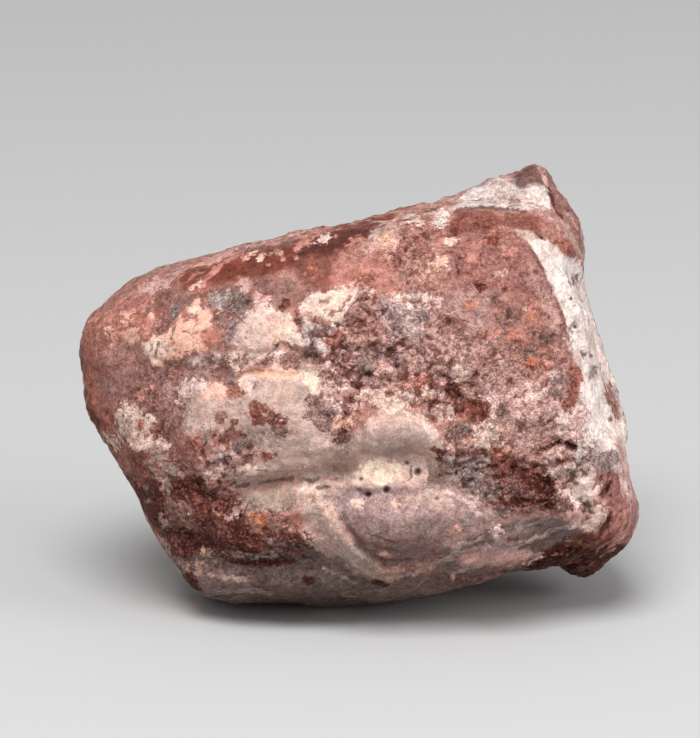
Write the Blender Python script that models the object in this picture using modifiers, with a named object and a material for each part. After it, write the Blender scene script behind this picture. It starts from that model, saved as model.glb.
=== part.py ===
"""Coprolite: a fossil dropping of red and cream stone, about 80 mm long, lying on its flattened underside.

It is one solid piece. The form is blocked out from a body, a crest and a lobe that are fused together, and the
broken end, the folds, swellings, ledges and pits are then worked into the skin. All sizes are in millimetres.

The stone's broad face is drawn in a plane of its own: ACROSS runs along the stone, UP runs up its face, and
DEPTH runs from the broad face to the back. The stone lies with that face leaning back by LEAN degrees.
"""

import math

import bmesh
import bpy
import numpy as np
from mathutils import Matrix, Vector, noise

MM = 0.001

# Driving dimensions
LEAN = 15.0
BASE_CUT = 1.4
SKIN_VOXEL = 0.6
SOFTEN_ROUNDS = 6
CAGE_CUTS = 47
MOST_TRIANGLES = 9400
STONE_COLOUR = (0.36, 0.19, 0.15, 1.0)
STONE_ROUGHNESS = 0.75

# The body: its outline seen square to its broad face, as (ACROSS, UP), from the left end round over the top
BODY_CENTRE = (-1.0, 29.0)
BODY_FULLNESS = (2.5, 3.9)
BODY_OUTLINE = [
    (-39.7, 34.0), (-39.6, 38.4), (-38.2, 41.2), (-34.6, 44.3), (-31.3, 46.6), (-28.4, 47.6),
    (-25.6, 48.3), (-22.8, 49.4), (-20.4, 49.9), (-18.3, 50.7), (-14.3, 51.2), (-11.5, 51.8),
    (-6.1, 53.2), (-3.0, 53.8), (3.3, 55.3), (10.9, 56.5), (16.0, 56.9), (21.7, 56.7),
    (26.0, 55.7), (28.6, 54.2), (30.3, 52.0), (31.2, 48.8), (31.5, 45.8), (32.6, 41.2),
    (35.0, 35.2), (36.4, 31.4), (37.1, 27.4), (37.6, 23.0), (38.0, 18.6), (38.0, 14.6),
    (36.6, 11.0), (34.0, 8.4), (31.0, 6.5), (27.7, 5.6), (23.7, 5.4), (20.7, 4.9),
    (17.9, 3.8), (14.9, 2.5), (10.0, 1.0), (3.3, 0.5), (-2.6, 0.3), (-11.6, 0.0),
    (-17.1, -0.2), (-20.2, 0.1), (-23.3, 1.0), (-25.1, 2.7), (-27.4, 5.8), (-29.7, 9.4),
    (-31.0, 12.6), (-32.2, 16.0), (-33.7, 18.5), (-35.6, 21.4), (-37.3, 24.1), (-38.9, 26.9),
    (-39.9, 30.2),
]
# Its thickness along the stone, as (ACROSS, to the broad face, to the back)
BODY_DEPTHS = [
    (-40.0, 18.0, 22.0), (-20.0, 22.0, 24.0), (0.0, 23.0, 24.0), (20.0, 22.0, 24.0), (40.0, 21.0, 22.0),
]

# The crest: a horn of rim that stands up behind the body at its broken end
CREST_CENTRE = (20.0, 49.0)
CREST_DEPTH = 11.0
CREST_FULLNESS = (2.2, 2.2)
CREST_OUTLINE = [
    (4.0, 52.0), (11.0, 56.9), (15.1, 58.6), (17.9, 59.9), (22.1, 61.1), (24.4, 62.5),
    (25.5, 62.9), (26.8, 62.3), (27.8, 60.4), (29.6, 58.7), (31.1, 56.2), (32.0, 53.8),
    (32.2, 51.1), (31.5, 47.6), (30.0, 42.0), (20.0, 37.0), (8.0, 40.0),
]
CREST_DEPTHS = [(4.0, 8.0, 11.0), (32.0, 8.0, 11.0)]

# The lobe: the rounded lower corner at the broken end, and the heel under it, each as centre and half sizes
# along ACROSS, DEPTH and UP
LOBE_CENTRE = (32.8, 0.5, 13.2)
LOBE_SIZE = (6.7, 16.0, 7.6)
HEEL_CENTRE = (31.2, 4.0, 8.0)
HEEL_SIZE = (4.6, 9.0, 4.3)

# The broken end: the front skin stops at BREAK_EDGE, the top skin at RIB_EDGE, and the break lies between them
BREAK_EDGE = [
    (21.4, 53.4), (23.6, 51.6), (26.0, 48.6), (27.8, 44.6), (29.3, 41.3), (30.3, 37.7),
    (31.3, 34.1), (32.3, 29.9), (33.4, 26.3), (34.5, 22.0),
]
RIB_EDGE = [(21.4, 53.6), (26.0, 52.2), (29.5, 50.2), (33.0, 47.0)]
BREAK_EDGE_DEPTH = -17.5
BREAK_SLOPE = 3.7
BREAK_FADES = (22.0, 29.0)
RIB_STEP = 3.4

# Worked forms, each drawn square to the broad face: (height, half width, path as (ACROSS, UP)). A height below 0
# is a hollow. The lists differ in the side of the stone that they work.
FACE_FORMS = [
    # the long fold, and the hollow that carries it on to the right
    (-1.5, 4.2, [(-20.5, 14.2), (-13.7, 15.8), (-8.3, 17.2), (-3.0, 18.2)]),
    (-1.3, 1.5, [(-20.0, 15.4), (-13.7, 16.7), (-8.3, 17.9), (-3.0, 19.2)]),
    (-1.7, 3.2, [(-4.0, 19.2), (2.0, 20.4), (7.5, 20.6)]),
    (-1.1, 2.8, [(8.9, 18.2), (13.1, 17.6), (17.4, 17.1), (23.0, 15.4)]),
    # the mass that hangs over the fold, and the dome beside it
    (1.5, 8.0, [(-22.0, 24.0), (-9.0, 26.0)]),
    (2.2, 4.6, [(3.4, 24.6), (8.6, 24.2)]),
    # the swellings under the fold
    (1.4, 3.0, [(-17.0, 13.4), (-9.0, 13.6)]),
    (2.6, 6.6, [(0.5, 10.6), (9.0, 12.0), (17.0, 10.2)]),
    (0.9, 1.3, [(-6.4, 15.6), (-4.6, 12.4), (-2.6, 9.4), (0.3, 6.4), (3.6, 3.8)]),
    (-1.0, 2.2, [(-8.0, 12.0), (-4.6, 7.6)]),
    # ledges along the underside
    (-1.3, 2.4, [(-26.0, 9.0), (-21.9, 7.4), (-15.4, 5.6), (-8.3, 6.2), (-3.0, 6.0)]),
    (0.8, 2.4, [(-24.0, 3.6), (-14.0, 2.6), (-4.0, 2.8)]),
    (-1.0, 1.8, [(10.6, 2.4), (16.0, 5.6), (21.7, 7.6), (28.0, 9.9)]),
    (-2.2, 3.2, [(24.5, 5.4), (29.0, 7.6)]),
    (0.8, 1.8, [(18.0, 9.6), (24.0, 12.0), (29.0, 12.6)]),
    # knobs and hollows of the middle
    (1.3, 2.0, [(-0.4, 40.9)]),
    (-0.9, 1.6, [(-2.6, 43.4), (1.8, 43.6), (3.0, 40.6), (0.6, 37.8), (-2.6, 38.6)]),
    (-0.9, 3.4, [(-2.0, 36.0), (-1.0, 31.0)]),
    (0.9, 2.2, [(-6.0, 31.0), (-3.4, 27.0)]),
    (-0.6, 2.2, [(4.0, 33.4), (10.0, 32.6), (15.0, 30.4)]),
    (-0.6, 2.0, [(14.0, 27.2), (19.0, 23.4), (26.0, 22.6)]),
    (0.7, 3.0, [(19.0, 27.4), (28.0, 26.6)]),
    (-1.0, 2.6, [(20.0, 18.6), (26.0, 18.4)]),
    (0.8, 2.4, [(25.0, 21.0), (30.0, 19.6)]),
    # long low swellings and a step along the top of the face
    (0.9, 4.2, [(-24.0, 46.0), (-10.0, 49.4), (6.0, 51.6)]),
    (-0.7, 2.4, [(-22.0, 42.4), (-10.0, 45.2), (4.0, 47.0)]),
    (0.8, 3.6, [(-30.0, 38.0), (-22.0, 38.4)]),
    (-0.7, 2.6, [(-33.0, 33.0), (-26.0, 32.0), (-20.0, 33.6)]),
    (0.8, 3.0, [(-33.0, 26.0), (-28.0, 18.4)]),
    (-0.8, 2.2, [(-27.6, 24.0), (-23.6, 17.0), (-22.6, 11.0)]),
    (1.0, 1.6, [(25.0, 53.0), (27.6, 47.6), (29.6, 41.6), (30.8, 35.6)]),
    # the dished face of the crest
    (-1.2, 2.8, [(18.0, 58.2), (25.6, 58.6), (29.0, 55.4)]),
]
BACK_FORMS = [
    (-1.9, 2.6, [(-26.0, 28.0), (-14.0, 32.0), (0.0, 31.0), (12.0, 34.6), (19.0, 33.4)]),
    (-1.4, 2.4, [(19.0, 44.0), (22.4, 36.0), (21.4, 27.0), (25.0, 19.0)]),
    (1.8, 7.0, [(-18.0, 40.0), (0.0, 41.6)]),
    (2.0, 7.0, [(-6.0, 19.0), (8.0, 21.6)]),
    (1.4, 4.2, [(-26.0, 20.0), (-18.0, 15.0)]),
    (1.6, 4.6, [(28.0, 30.0), (30.0, 22.0)]),
    (-1.4, 4.0, [(-13.0, 23.0), (-14.0, 12.0)]),
    (1.2, 2.6, [(25.0, 59.0), (23.6, 52.0), (25.0, 44.0)]),
    (-1.3, 2.6, [(12.0, 53.0), (16.0, 46.0)]),
    (-1.0, 2.2, [(2.0, 12.0), (14.0, 10.0), (26.0, 11.6)]),
    (1.1, 2.6, [(-32.0, 36.0), (-27.0, 41.6)]),
    (-1.1, 1.8, [(-8.0, 47.0), (4.0, 46.4)]),
]
# Forms of the broken end and of the left end, drawn from the side as (DEPTH, UP)
RIGHT_FORMS = [
    (-1.0, 4.0, [(-6.0, 42.0), (-4.0, 33.0)]),
    (0.8, 2.6, [(-12.0, 29.6), (-7.0, 27.0)]),
    (0.8, 2.6, [(6.0, 26.0), (13.0, 28.0)]),
    (-1.0, 2.2, [(4.0, 47.0), (9.0, 38.0), (6.0, 30.0)]),
    (0.9, 3.0, [(14.0, 44.0), (15.0, 34.0)]),
    (-1.1, 2.4, [(-12.0, 20.6), (0.0, 22.0), (12.0, 20.4)]),
    (-0.9, 2.2, [(2.0, 16.0), (5.0, 9.0)]),
]
LEFT_FORMS = [
    (0.9, 4.0, [(-9.0, 36.0), (6.0, 40.0)]),
    (-1.2, 2.6, [(5.0, 31.0), (16.0, 28.0)]),
    (1.0, 3.6, [(6.0, 24.0), (10.0, 17.0)]),
    (-0.9, 2.4, [(-4.0, 22.0), (0.0, 13.0)]),
]
# Forms of the top, drawn from above as (ACROSS, DEPTH)
TOP_FORMS = [
    (1.0, 4.0, [(-22.0, 13.0), (-10.0, 15.0)]),
    (-0.9, 2.2, [(-18.0, -8.0), (-6.0, -7.0), (8.0, -5.0)]),
    (-1.2, 2.6, [(-28.0, 12.0), (-12.0, 14.0), (2.0, 11.0)]),
    (1.1, 4.0, [(0.0, 16.0), (12.0, 18.0)]),
]

# Where a worked form starts to fade and is gone, by how far the skin has turned from the side it is drawn on
FACING_FADES = (0.05, 0.45)
# How far the drawn forms wander, as (size of the waves, how far), and how unevenly they are pressed in
WANDER = [(11.0, 1.5), (4.0, 0.8)]
FACE_WANDER, SIDE_WANDER = 0.6, 1.6
UNEVEN_SIZE, FACE_UNEVEN, SIDE_UNEVEN = 6.0, 0.5, 1.1
# The lumps all over, as (size, height), and what is left of them on the outline, a strip this deep
LUMPS = [(15.0, 1.7), (6.5, 1.0), (3.2, 0.55)]
LUMPS_ON_RIM = 0.3
RIM_DEPTH = 10.0
NOISE_CORNER = (113.0, 47.0, 81.0)


def clear_scene():
    for old in list(bpy.data.objects):
        bpy.data.objects.remove(old)


def read_points(mesh):
    found = np.empty(len(mesh.vertices) * 3, np.float32)
    mesh.vertices.foreach_get("co", found)
    return found.reshape(-1, 3).astype(float)


def read_normals(mesh):
    found = np.empty(len(mesh.vertices) * 3, np.float32)
    mesh.vertex_normals.foreach_get("vector", found)
    return found.reshape(-1, 3).astype(float)


def write_points(mesh, points):
    mesh.vertices.foreach_set("co", points.astype(np.float32).ravel())
    mesh.update()


def smoothstep(low, high, value):
    share = np.clip((value - low) / (high - low), 0.0, 1.0)
    return share * share * (3.0 - 2.0 * share)


def added_object(name, home, shape):
    """Turns a finished bmesh into an object of the collection."""
    mesh = bpy.data.meshes.new(name)
    shape.to_mesh(mesh)
    shape.free()
    made = bpy.data.objects.new(name, mesh)
    home.objects.link(made)
    return made


def settled(made):
    """Replaces an object's mesh by what its modifiers make of it."""
    evaluated = made.evaluated_get(bpy.context.evaluated_depsgraph_get())
    mesh = bpy.data.meshes.new_from_object(evaluated)
    made.modifiers.clear()
    made.data = mesh
    return made


def outline_reach(outline, centre, angles):
    """How far an outline is from its centre in each direction."""
    away = np.array(outline) - np.array(centre)
    turn = np.arctan2(away[:, 1], away[:, 0])
    order = np.argsort(turn)
    return np.interp(angles, turn[order], np.hypot(away[:, 0], away[:, 1])[order], period=2 * math.pi)


def outlined_lump(name, home, outline, centre, depth, depths, fullness):
    """A rounded lump with an exact outline. fullness is how square its sections are at the left and at the right."""
    cage = bmesh.new()
    bmesh.ops.create_cube(cage, size=2.0)
    bmesh.ops.subdivide_edges(cage, edges=cage.edges[:], cuts=CAGE_CUTS, use_grid_fill=True)
    made = added_object(name, home, cage)
    way = read_points(made.data)
    way /= np.linalg.norm(way, axis=1)[:, None]
    flat = np.hypot(way[:, 0], way[:, 2])
    thick = np.abs(way[:, 1])
    power = fullness[0] + (fullness[1] - fullness[0]) * smoothstep(-0.3, 0.9, way[:, 0])
    grown = (flat**power + thick**power) ** (1 / power)
    angles = np.arctan2(way[:, 2], way[:, 0])
    reach = outline_reach(outline, centre, angles) * flat / grown
    across = centre[0] + reach * np.cos(angles)
    at, to_face, to_back = np.array(depths).T
    half_depth = np.where(way[:, 1] < 0, np.interp(across, at, to_face), np.interp(across, at, to_back))
    up = centre[1] + reach * np.sin(angles)
    write_points(made.data, np.column_stack([across, depth + half_depth * way[:, 1] / grown, up]))
    return made


def ball(name, home, centre, size):
    """An ellipsoid, as one lump of the blocked-out form."""
    cage = bmesh.new()
    bmesh.ops.create_uvsphere(cage, u_segments=48, v_segments=32, radius=1.0)
    made = added_object(name, home, cage)
    made.data.transform(Matrix.Translation(centre) @ Matrix.Diagonal((*size, 1.0)))
    return made


def break_end(body):
    """Cuts the right end of the body back to the break, a steep face that starts at BREAK_EDGE."""
    points = read_points(body.data)
    across, up = points[:, 0], points[:, 2]
    edge = np.array(BREAK_EDGE)[::-1]
    rib = np.array(RIB_EDGE)
    beyond = across - np.interp(up, edge[:, 1], edge[:, 0])
    under = np.interp(across, rib[:, 0], rib[:, 1]) - up
    face = BREAK_EDGE_DEPTH + BREAK_SLOPE * beyond
    here = smoothstep(*BREAK_FADES, up) * smoothstep(0.0, RIB_STEP, under) * (beyond > 0)
    points[:, 1] += here * (np.maximum(points[:, 1], face) - points[:, 1])
    write_points(body.data, points)


def fused(name, home, lumps):
    """One closed skin round all the lumps, evenly meshed."""
    joined = bmesh.new()
    for lump in lumps:
        joined.from_mesh(lump.data)
        bpy.data.objects.remove(lump)
    made = added_object(name, home, joined)
    remesh = made.modifiers.new("skin", "REMESH")
    remesh.mode = "VOXEL"
    remesh.voxel_size = SKIN_VOXEL
    smooth = made.modifiers.new("soften", "SMOOTH")
    smooth.factor = 0.5
    smooth.iterations = SOFTEN_ROUNDS
    return settled(made)


def distance_to(path, seen):
    """Distance of each point from a line of straight runs, on the plane that the line is drawn on."""
    corners = np.array(path)
    if len(corners) == 1:
        return np.linalg.norm(seen - corners[0], axis=1)
    nearest = np.full(len(seen), np.inf)
    for start, end in zip(corners[:-1], corners[1:]):
        run = end - start
        share = np.clip((seen - start) @ run / (run @ run), 0.0, 1.0)
        nearest = np.minimum(nearest, np.linalg.norm(seen - start - share[:, None] * run, axis=1))
    return nearest


def noise_at(points, size):
    """Smooth noise from -1 to 1 with waves of this size."""
    spots = (points + np.array(NOISE_CORNER)) / size
    return np.array([noise.noise(Vector(spot)) for spot in spots])


def wander(points):
    """How far each point is moved before the drawn forms are read, so that straight runs don't look ruled."""
    moved = np.zeros_like(points)
    for size, far in WANDER:
        for axis in range(3):
            moved[:, axis] += far * noise_at(points + 31.0 * (axis + 1), size)
    return moved


def lift_of(forms, seen, facing):
    """How far a list of forms raises the skin."""
    lift = np.zeros(len(seen))
    weight = smoothstep(*FACING_FADES, facing)
    for height, half_width, path in forms:
        share = np.clip(distance_to(path, seen) / half_width, 0.0, 1.0)
        lift += height * (1.0 - share**2) ** 2
    return lift * weight


def work_skin(stone):
    """Presses the drawn forms and the lumps into the skin."""
    points, normals = read_points(stone.data), read_normals(stone.data)
    moves = wander(points)
    face_points = points + FACE_WANDER * moves
    side_points = points + SIDE_WANDER * moves
    across, depth, up = normals.T
    uneven = noise_at(points, UNEVEN_SIZE)
    lift = lift_of(BACK_FORMS, side_points[:, [0, 2]], depth)
    lift += lift_of(RIGHT_FORMS, side_points[:, [1, 2]], across)
    lift += lift_of(LEFT_FORMS, side_points[:, [1, 2]], -across)
    lift += lift_of(TOP_FORMS, side_points[:, [0, 1]], up)
    lift *= 1.0 + SIDE_UNEVEN * uneven
    lift += lift_of(FACE_FORMS, face_points[:, [0, 2]], -depth) * (1.0 + FACE_UNEVEN * uneven)
    on_rim = (1.0 - np.abs(depth)) * np.exp(-((points[:, 1] / RIM_DEPTH) ** 2))
    for size, height in LUMPS:
        lift += height * noise_at(points, size) * (1.0 - (1.0 - LUMPS_ON_RIM) * on_rim)
    write_points(stone.data, points + normals * lift[:, None])


def thin_out(stone):
    """Fewer triangles, kept where the form turns most."""
    reduce = stone.modifiers.new("reduce", "DECIMATE")
    triangles = sum(len(p.vertices) - 2 for p in stone.data.polygons)
    reduce.ratio = MOST_TRIANGLES / triangles
    return settled(stone)


def lay_down(stone):
    """Leans the stone back, cuts its underside flat and sets the middle of its footprint at the origin."""
    mesh = stone.data
    mesh.transform(Matrix.Scale(MM, 4) @ Matrix.Rotation(math.radians(-LEAN), 4, "X"))
    points = read_points(mesh)
    floor = points[:, 2].min() + BASE_CUT * MM
    middle = (points.min(axis=0) + points.max(axis=0)) / 2
    mesh.transform(Matrix.Translation((-middle[0], -middle[1], -floor)))
    cut = bmesh.new()
    cut.from_mesh(mesh)
    everything = cut.verts[:] + cut.edges[:] + cut.faces[:]
    sliced = bmesh.ops.bisect_plane(
        cut, geom=everything, dist=0.01 * MM, plane_co=(0, 0, 0), plane_no=(0, 0, 1), clear_inner=True)
    rim = [e for e in sliced["geom_cut"] if isinstance(e, bmesh.types.BMEdge)]
    bmesh.ops.contextual_create(cut, geom=rim)
    bmesh.ops.triangulate(cut, faces=cut.faces[:])
    cut.to_mesh(mesh)
    cut.free()


def stone_material():
    """Red-brown stone with a dull surface."""
    material = bpy.data.materials.new("coprolite stone")
    material.use_nodes = True
    shader = material.node_tree.nodes["Principled BSDF"]
    shader.inputs["Base Color"].default_value = STONE_COLOUR
    shader.inputs["Roughness"].default_value = STONE_ROUGHNESS
    return material


def main():
    clear_scene()
    home = bpy.data.collections.new("coprolite")
    bpy.context.scene.collection.children.link(home)
    body = outlined_lump("body", home, BODY_OUTLINE, BODY_CENTRE, 0.0, BODY_DEPTHS, BODY_FULLNESS)
    break_end(body)
    crest = outlined_lump("crest", home, CREST_OUTLINE, CREST_CENTRE, CREST_DEPTH, CREST_DEPTHS, CREST_FULLNESS)
    lobe = ball("lobe", home, LOBE_CENTRE, LOBE_SIZE)
    heel = ball("heel", home, HEEL_CENTRE, HEEL_SIZE)
    stone = fused("coprolite", home, [body, crest, lobe, heel])
    work_skin(stone)
    thin_out(stone)
    lay_down(stone)
    stone.data.shade_smooth()
    stone.data.materials.append(stone_material())


main()
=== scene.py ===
"""Looks of the coprolite: fine relief, crust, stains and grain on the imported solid, on a plain floor.

The solid's mesh is copied, made finer and given the relief that is too small for the solid. What the
photograph shows is placed by its pixels (700 wide, 738 high, y down) and lands on the surface that the
camera sees there. The sides that it doesn't show get relief and colours of the same kinds from noise.
Lengths are millimetres, except in the calls that hand them to Blender, which takes metres.

A table is a text with one row on a line: the row's names and numbers, and then its points. A backslash
carries a row on to the next line, and a line that starts with # is a comment. A path runs through its
points, an outline runs round through them, and both are curved between the points.
"""

import math

import bmesh
import bpy
import numpy as np
from mathutils import Matrix, Vector, noise


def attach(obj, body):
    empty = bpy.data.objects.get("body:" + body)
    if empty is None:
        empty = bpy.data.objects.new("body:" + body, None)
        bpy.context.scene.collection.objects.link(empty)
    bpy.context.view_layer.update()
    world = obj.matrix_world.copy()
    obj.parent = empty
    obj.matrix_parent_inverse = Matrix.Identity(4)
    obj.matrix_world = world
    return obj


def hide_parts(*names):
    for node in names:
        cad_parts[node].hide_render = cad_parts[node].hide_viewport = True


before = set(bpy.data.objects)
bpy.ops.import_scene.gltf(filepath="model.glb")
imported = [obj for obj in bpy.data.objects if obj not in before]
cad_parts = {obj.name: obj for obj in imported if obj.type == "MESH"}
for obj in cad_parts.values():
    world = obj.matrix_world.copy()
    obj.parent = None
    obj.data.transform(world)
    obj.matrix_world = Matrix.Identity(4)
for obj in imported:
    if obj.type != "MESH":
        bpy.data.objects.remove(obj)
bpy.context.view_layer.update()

MM = 0.001

# The photograph's view.
PHOTO_SIZE = (700, 738)
PIXELS_PER_MM = 7.0
CAMERA_DISTANCE = 1000.0
CAMERA_ELEVATION = 15.0
AIM = (-1.26, 0.73, 32.72)
SENSOR = 36.0

# The studio, in metres: strength of the even light, and each lamp's name, place and watts.
EVEN_LIGHT = 0.48
LAMPS = (("overhead", (-0.10, -0.55, 1.0), 16.6), ("right", (0.95, -0.45, 0.50), 6.7))
LAMP_SIZE = 0.7
LAMP_AIM = (0, 0, 0.03)
FLOOR_SIZE = 8
FLOOR_COLOUR = (0.42, 0.42, 0.42, 1)
FLOOR_ROUGHNESS = 0.9

# The mesh.
COARSE_CELL = 0.68
FRONT_FROM = 0.20
PIT_MARGIN = 3.0
WELD = 0.01

# Where marks placed by the photograph fade out, as the surface turns away from the camera.
SHOWN_FADES = (0.05, 0.22)
# The height over the floor in which the relief fades in, so that the resting face stays flat.
REST_FADE = (0.02, 0.8)

# Edges wander by noise, so that none is smooth: the noise's size, seeds and octaves, and the reach in pixels.
RELIEF_WANDER = (2.2, (11, 12), 1)
RELIEF_REACH = 2.2
MARK_WANDER = (1.5, (41, 42), 2)
MARK_REACH = 2.2
GROUND_REACH = 4.0

# Relief by zone: depth of the knobs, depth of the grit, how soft the zone's edge is in pixels, outline.
ZONES = """
0.1 0.05 12 80,330 110,285 200,262 330,225 330,280 230,300 220,380 180,420 110,400 85,370
0.3 0.09 10 200,350 250,350 300,360 300,320 400,330 400,400 340,410 330,440 310,440 305,380 230,372
0.16 0.16 14 390,225 450,222 520,238 550,290 568,345 575,395 555,440 500,448 440,430 400,400 385,330
0.42 0.14 8 305,325 350,295 380,297 410,340 470,360 480,400 430,408 370,392 345,440 318,440 312,380
0.36 0.14 8 195,440 240,436 252,462 235,485 215,490 195,480
0.34 0.16 10 430,425 480,440 560,438 600,450 612,500 600,520 560,512 480,500 440,470
0.08 0.05 8 235,372 312,372 322,400 330,440 310,465 280,468 300,420 250,400 205,400 190,430 200,388
0.06 0.04 8 360,430 380,414 420,416 442,442 430,470 405,482 360,482 330,470 345,440
0.08 0.05 8 240,492 300,486 350,482 450,488 500,512 480,540 420,560 370,560 330,520 300,515 250,512
0.05 0.04 6 440,205 480,185 550,180 580,240 583,300 620,400 625,460 600,450 580,400 560,320 530,245 \
500,212
0.1 0.04 8 440,530 500,512 550,515 580,530 560,560 500,565 430,585 360,598 250,600 240,560 380,560
"""

# Depth of knobs and grit outside the zones.
PLAIN_RELIEF = (0.15, 0.08)

# Forms too small for the solid: height, half width in pixels, path.
FORMS = """
# around the dome, the pocket under it and the top of the bulge
0.75 15 378,428 400,424 424,432
-0.2 8 366,454 388,456 408,452 424,456
0.55 8 352,486 380,487 420,486 452,492 478,506
0.3 4 364,428 370,419 382,414 402,413 421,418 432,430 441,441
# the crease of the beige zone and the blob under it
-0.18 3 232,488 258,484 282,480 312,481 326,486
0.45 9 250,498 280,493 310,492
0.4 8 240,474 275,468 305,464 340,462
0.45 6 236,372 262,367 290,369 316,368 322,384
# the arc ridge and the bulge's lower edge
0.32 5 310,490 322,508 334,528 352,549 368,563 380,574
-0.5 6 340,520 350,536 364,551 384,562 410,563
0.45 5 384,570 404,569 424,563 446,548 470,536 494,528
-0.35 5 398,578 424,570 450,562 470,556
# folds low on the right
0.5 4 462,566 484,552 505,543 528,540 550,532 575,526
-0.45 4 500,550 522,549 540,542 552,530
0.4 5 500,524 524,519 548,516
-0.35 4 492,536 516,530 540,526
0.4 5 506,558 526,556 540,550
# hollows and lobes on the right
-0.8 6 540,453 550,444 561,441 571,447 574,456
-0.45 15 500,476 520,480 540,488
0.45 6 545,476 558,470 572,468
0.45 10 582,484 590,494
0.4 9 480,436 490,428
-0.6 6 445,390 460,398 476,404
-0.5 5 553,388 560,396
# knobs and gaps in the middle
0.45 9 360,326 364,328
-0.35 3 346,322 350,305 362,299 375,307 380,320
0.4 6 333,340 335,342
-0.5 4 308,322 314,334 326,342 340,347 352,344
-0.45 4 345,347 362,349 378,344 392,350 410,348 424,352
0.35 6 375,366 390,368
-0.4 4 352,368 364,372 380,380 398,382 410,378
-0.45 4 280,336 281,344 272,350 262,354
-0.45 4 284,345 294,350 300,358
-0.4 6 305,356 318,362
-0.4 5 336,350 337,366
0.4 6 334,376 336,390
0.3 6 323,430 330,424
# the top, the valley and the break
-0.45 4 452,209 480,208 508,210 530,213 546,220 560,230 570,242
0.4 4 515,232 526,243 539,264 550,284 558,306 562,324 571,345 580,376 583,395
-0.3 4 548,184 553,200 562,214 572,232 576,248
0.3 3 541,170 550,186 558,200 566,214 572,226
0.3 3 552,182 562,198 572,214 578,232
-0.3 3 548,178 560,200 570,217 576,238
# the left end
-0.15 6 108,350 135,352 165,362 190,370
0.3 5 116,412 135,405 150,418
0.3 5 120,440 138,450 156,446 168,450
-0.35 7 134,460 150,474
-0.4 6 170,478 190,492 214,498
0.35 5 162,518 172,542 186,560
0.35 5 196,566 214,556
-0.35 6 206,545 240,550 270,560 300,562
"""

# Raised crust: height, how soft its edge is in pixels, outline.
PLAQUES = """
0.26 2 148,314 155,314 155,332 165,332 181,312 186,320 190,306 199,300 205,308 214,318 221,341 210,350 \
198,354 184,360 172,358 157,367 149,356 143,345 152,335
0.26 2 209,271 205,276 198,287 190,290 199,276
0.28 3 232,348 234,330 246,318 262,312 280,314 300,322 304,340 290,342 278,348 262,352 246,350
0.28 3 300,322 298,305 312,298 330,296 350,290 366,286 352,300 346,318 330,326 318,322
0.24 2 114,415 125,403 144,414 154,422 147,431 156,445 143,452 125,440 117,424
0.24 3 355,396 372,390 400,388 420,394 405,402 404,412 380,412 362,404
0.22 3 182,384 202,379 204,388 190,396 180,406 177,394
0.24 3 218,366 212,356 230,352 242,362 236,374 224,372
0.22 2 393,298 428,295 430,303 396,303
0.25 2 522,307 536,302 538,312 534,320 528,318
"""

# Round pits: radius in pixels, depth, place.
PITS = """
4.4 0.75 418,472
4 0.8 386.5,490
4 0.6 368,494
3 0.4 407,463
2.2 0.35 361,479
2.4 0.3 360,490
3.4 0.4 308,480
3.6 0.35 325,487
3 0.4 575,327
2.2 0.35 584,355
2.2 0.35 591,356
3.2 0.5 611,420
2 0.3 571,299
5 0.5 587,506
3 0.35 594,368
2.4 0.35 600,366
"""

# Colours, as the share of red, green and blue light that each gives back.
TONES = {
    "brick": (0.34, 0.132, 0.1),
    "russet": (0.23, 0.085, 0.065),
    "brown": (0.25, 0.13, 0.11),
    "umber": (0.16, 0.085, 0.075),
    "cinnamon": (0.31, 0.14, 0.12),
    "clay": (0.345, 0.162, 0.136),
    "taupe": (0.31, 0.19, 0.17),
    "slate": (0.18, 0.135, 0.126),
    "dark_red": (0.14, 0.04, 0.028),
    "maroon": (0.085, 0.027, 0.021),
    "salmon": (0.47, 0.203, 0.163),
    "orange": (0.52, 0.2, 0.13),
    "apricot": (0.8, 0.45, 0.34),
    "rose": (0.56, 0.33, 0.29),
    "pale_rose": (0.74, 0.52, 0.46),
    "flesh": (0.44, 0.22, 0.18),
    "mauve": (0.38, 0.265, 0.25),
    "lilac_grey": (0.39, 0.29, 0.278),
    "blue_grey": (0.27, 0.21, 0.2),
    "grey": (0.3, 0.235, 0.215),
    "dark_grey": (0.115, 0.085, 0.085),
    "dusk": (0.18, 0.125, 0.11),
    "soot": (0.05, 0.013, 0.008),
    "rust": (0.42, 0.14, 0.08),
    "tan": (0.4, 0.25, 0.19),
    "chalk": (0.63, 0.56, 0.53),
    "pale_grey": (0.53, 0.45, 0.415),
    "shell": (0.84, 0.64, 0.58),
    "heather": (0.44, 0.252, 0.22),
    "silt": (0.122, 0.088, 0.079),
    "oat": (0.35, 0.25, 0.205),
    "pitch": (0.03, 0.007, 0.004),
    "peach": (0.66, 0.35, 0.27),
    "bark": (0.125, 0.046, 0.028),
    "sand": (0.5, 0.352, 0.302),
    "plum": (0.245, 0.162, 0.15),
    "beige": (0.58, 0.405, 0.345),
    "dull_beige": (0.42, 0.3, 0.255),
    "cream": (0.74, 0.54, 0.45),
    "ivory": (0.8, 0.685, 0.625),
    "white": (0.88, 0.8, 0.75),
    "straw": (0.78, 0.61, 0.475),
}

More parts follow.
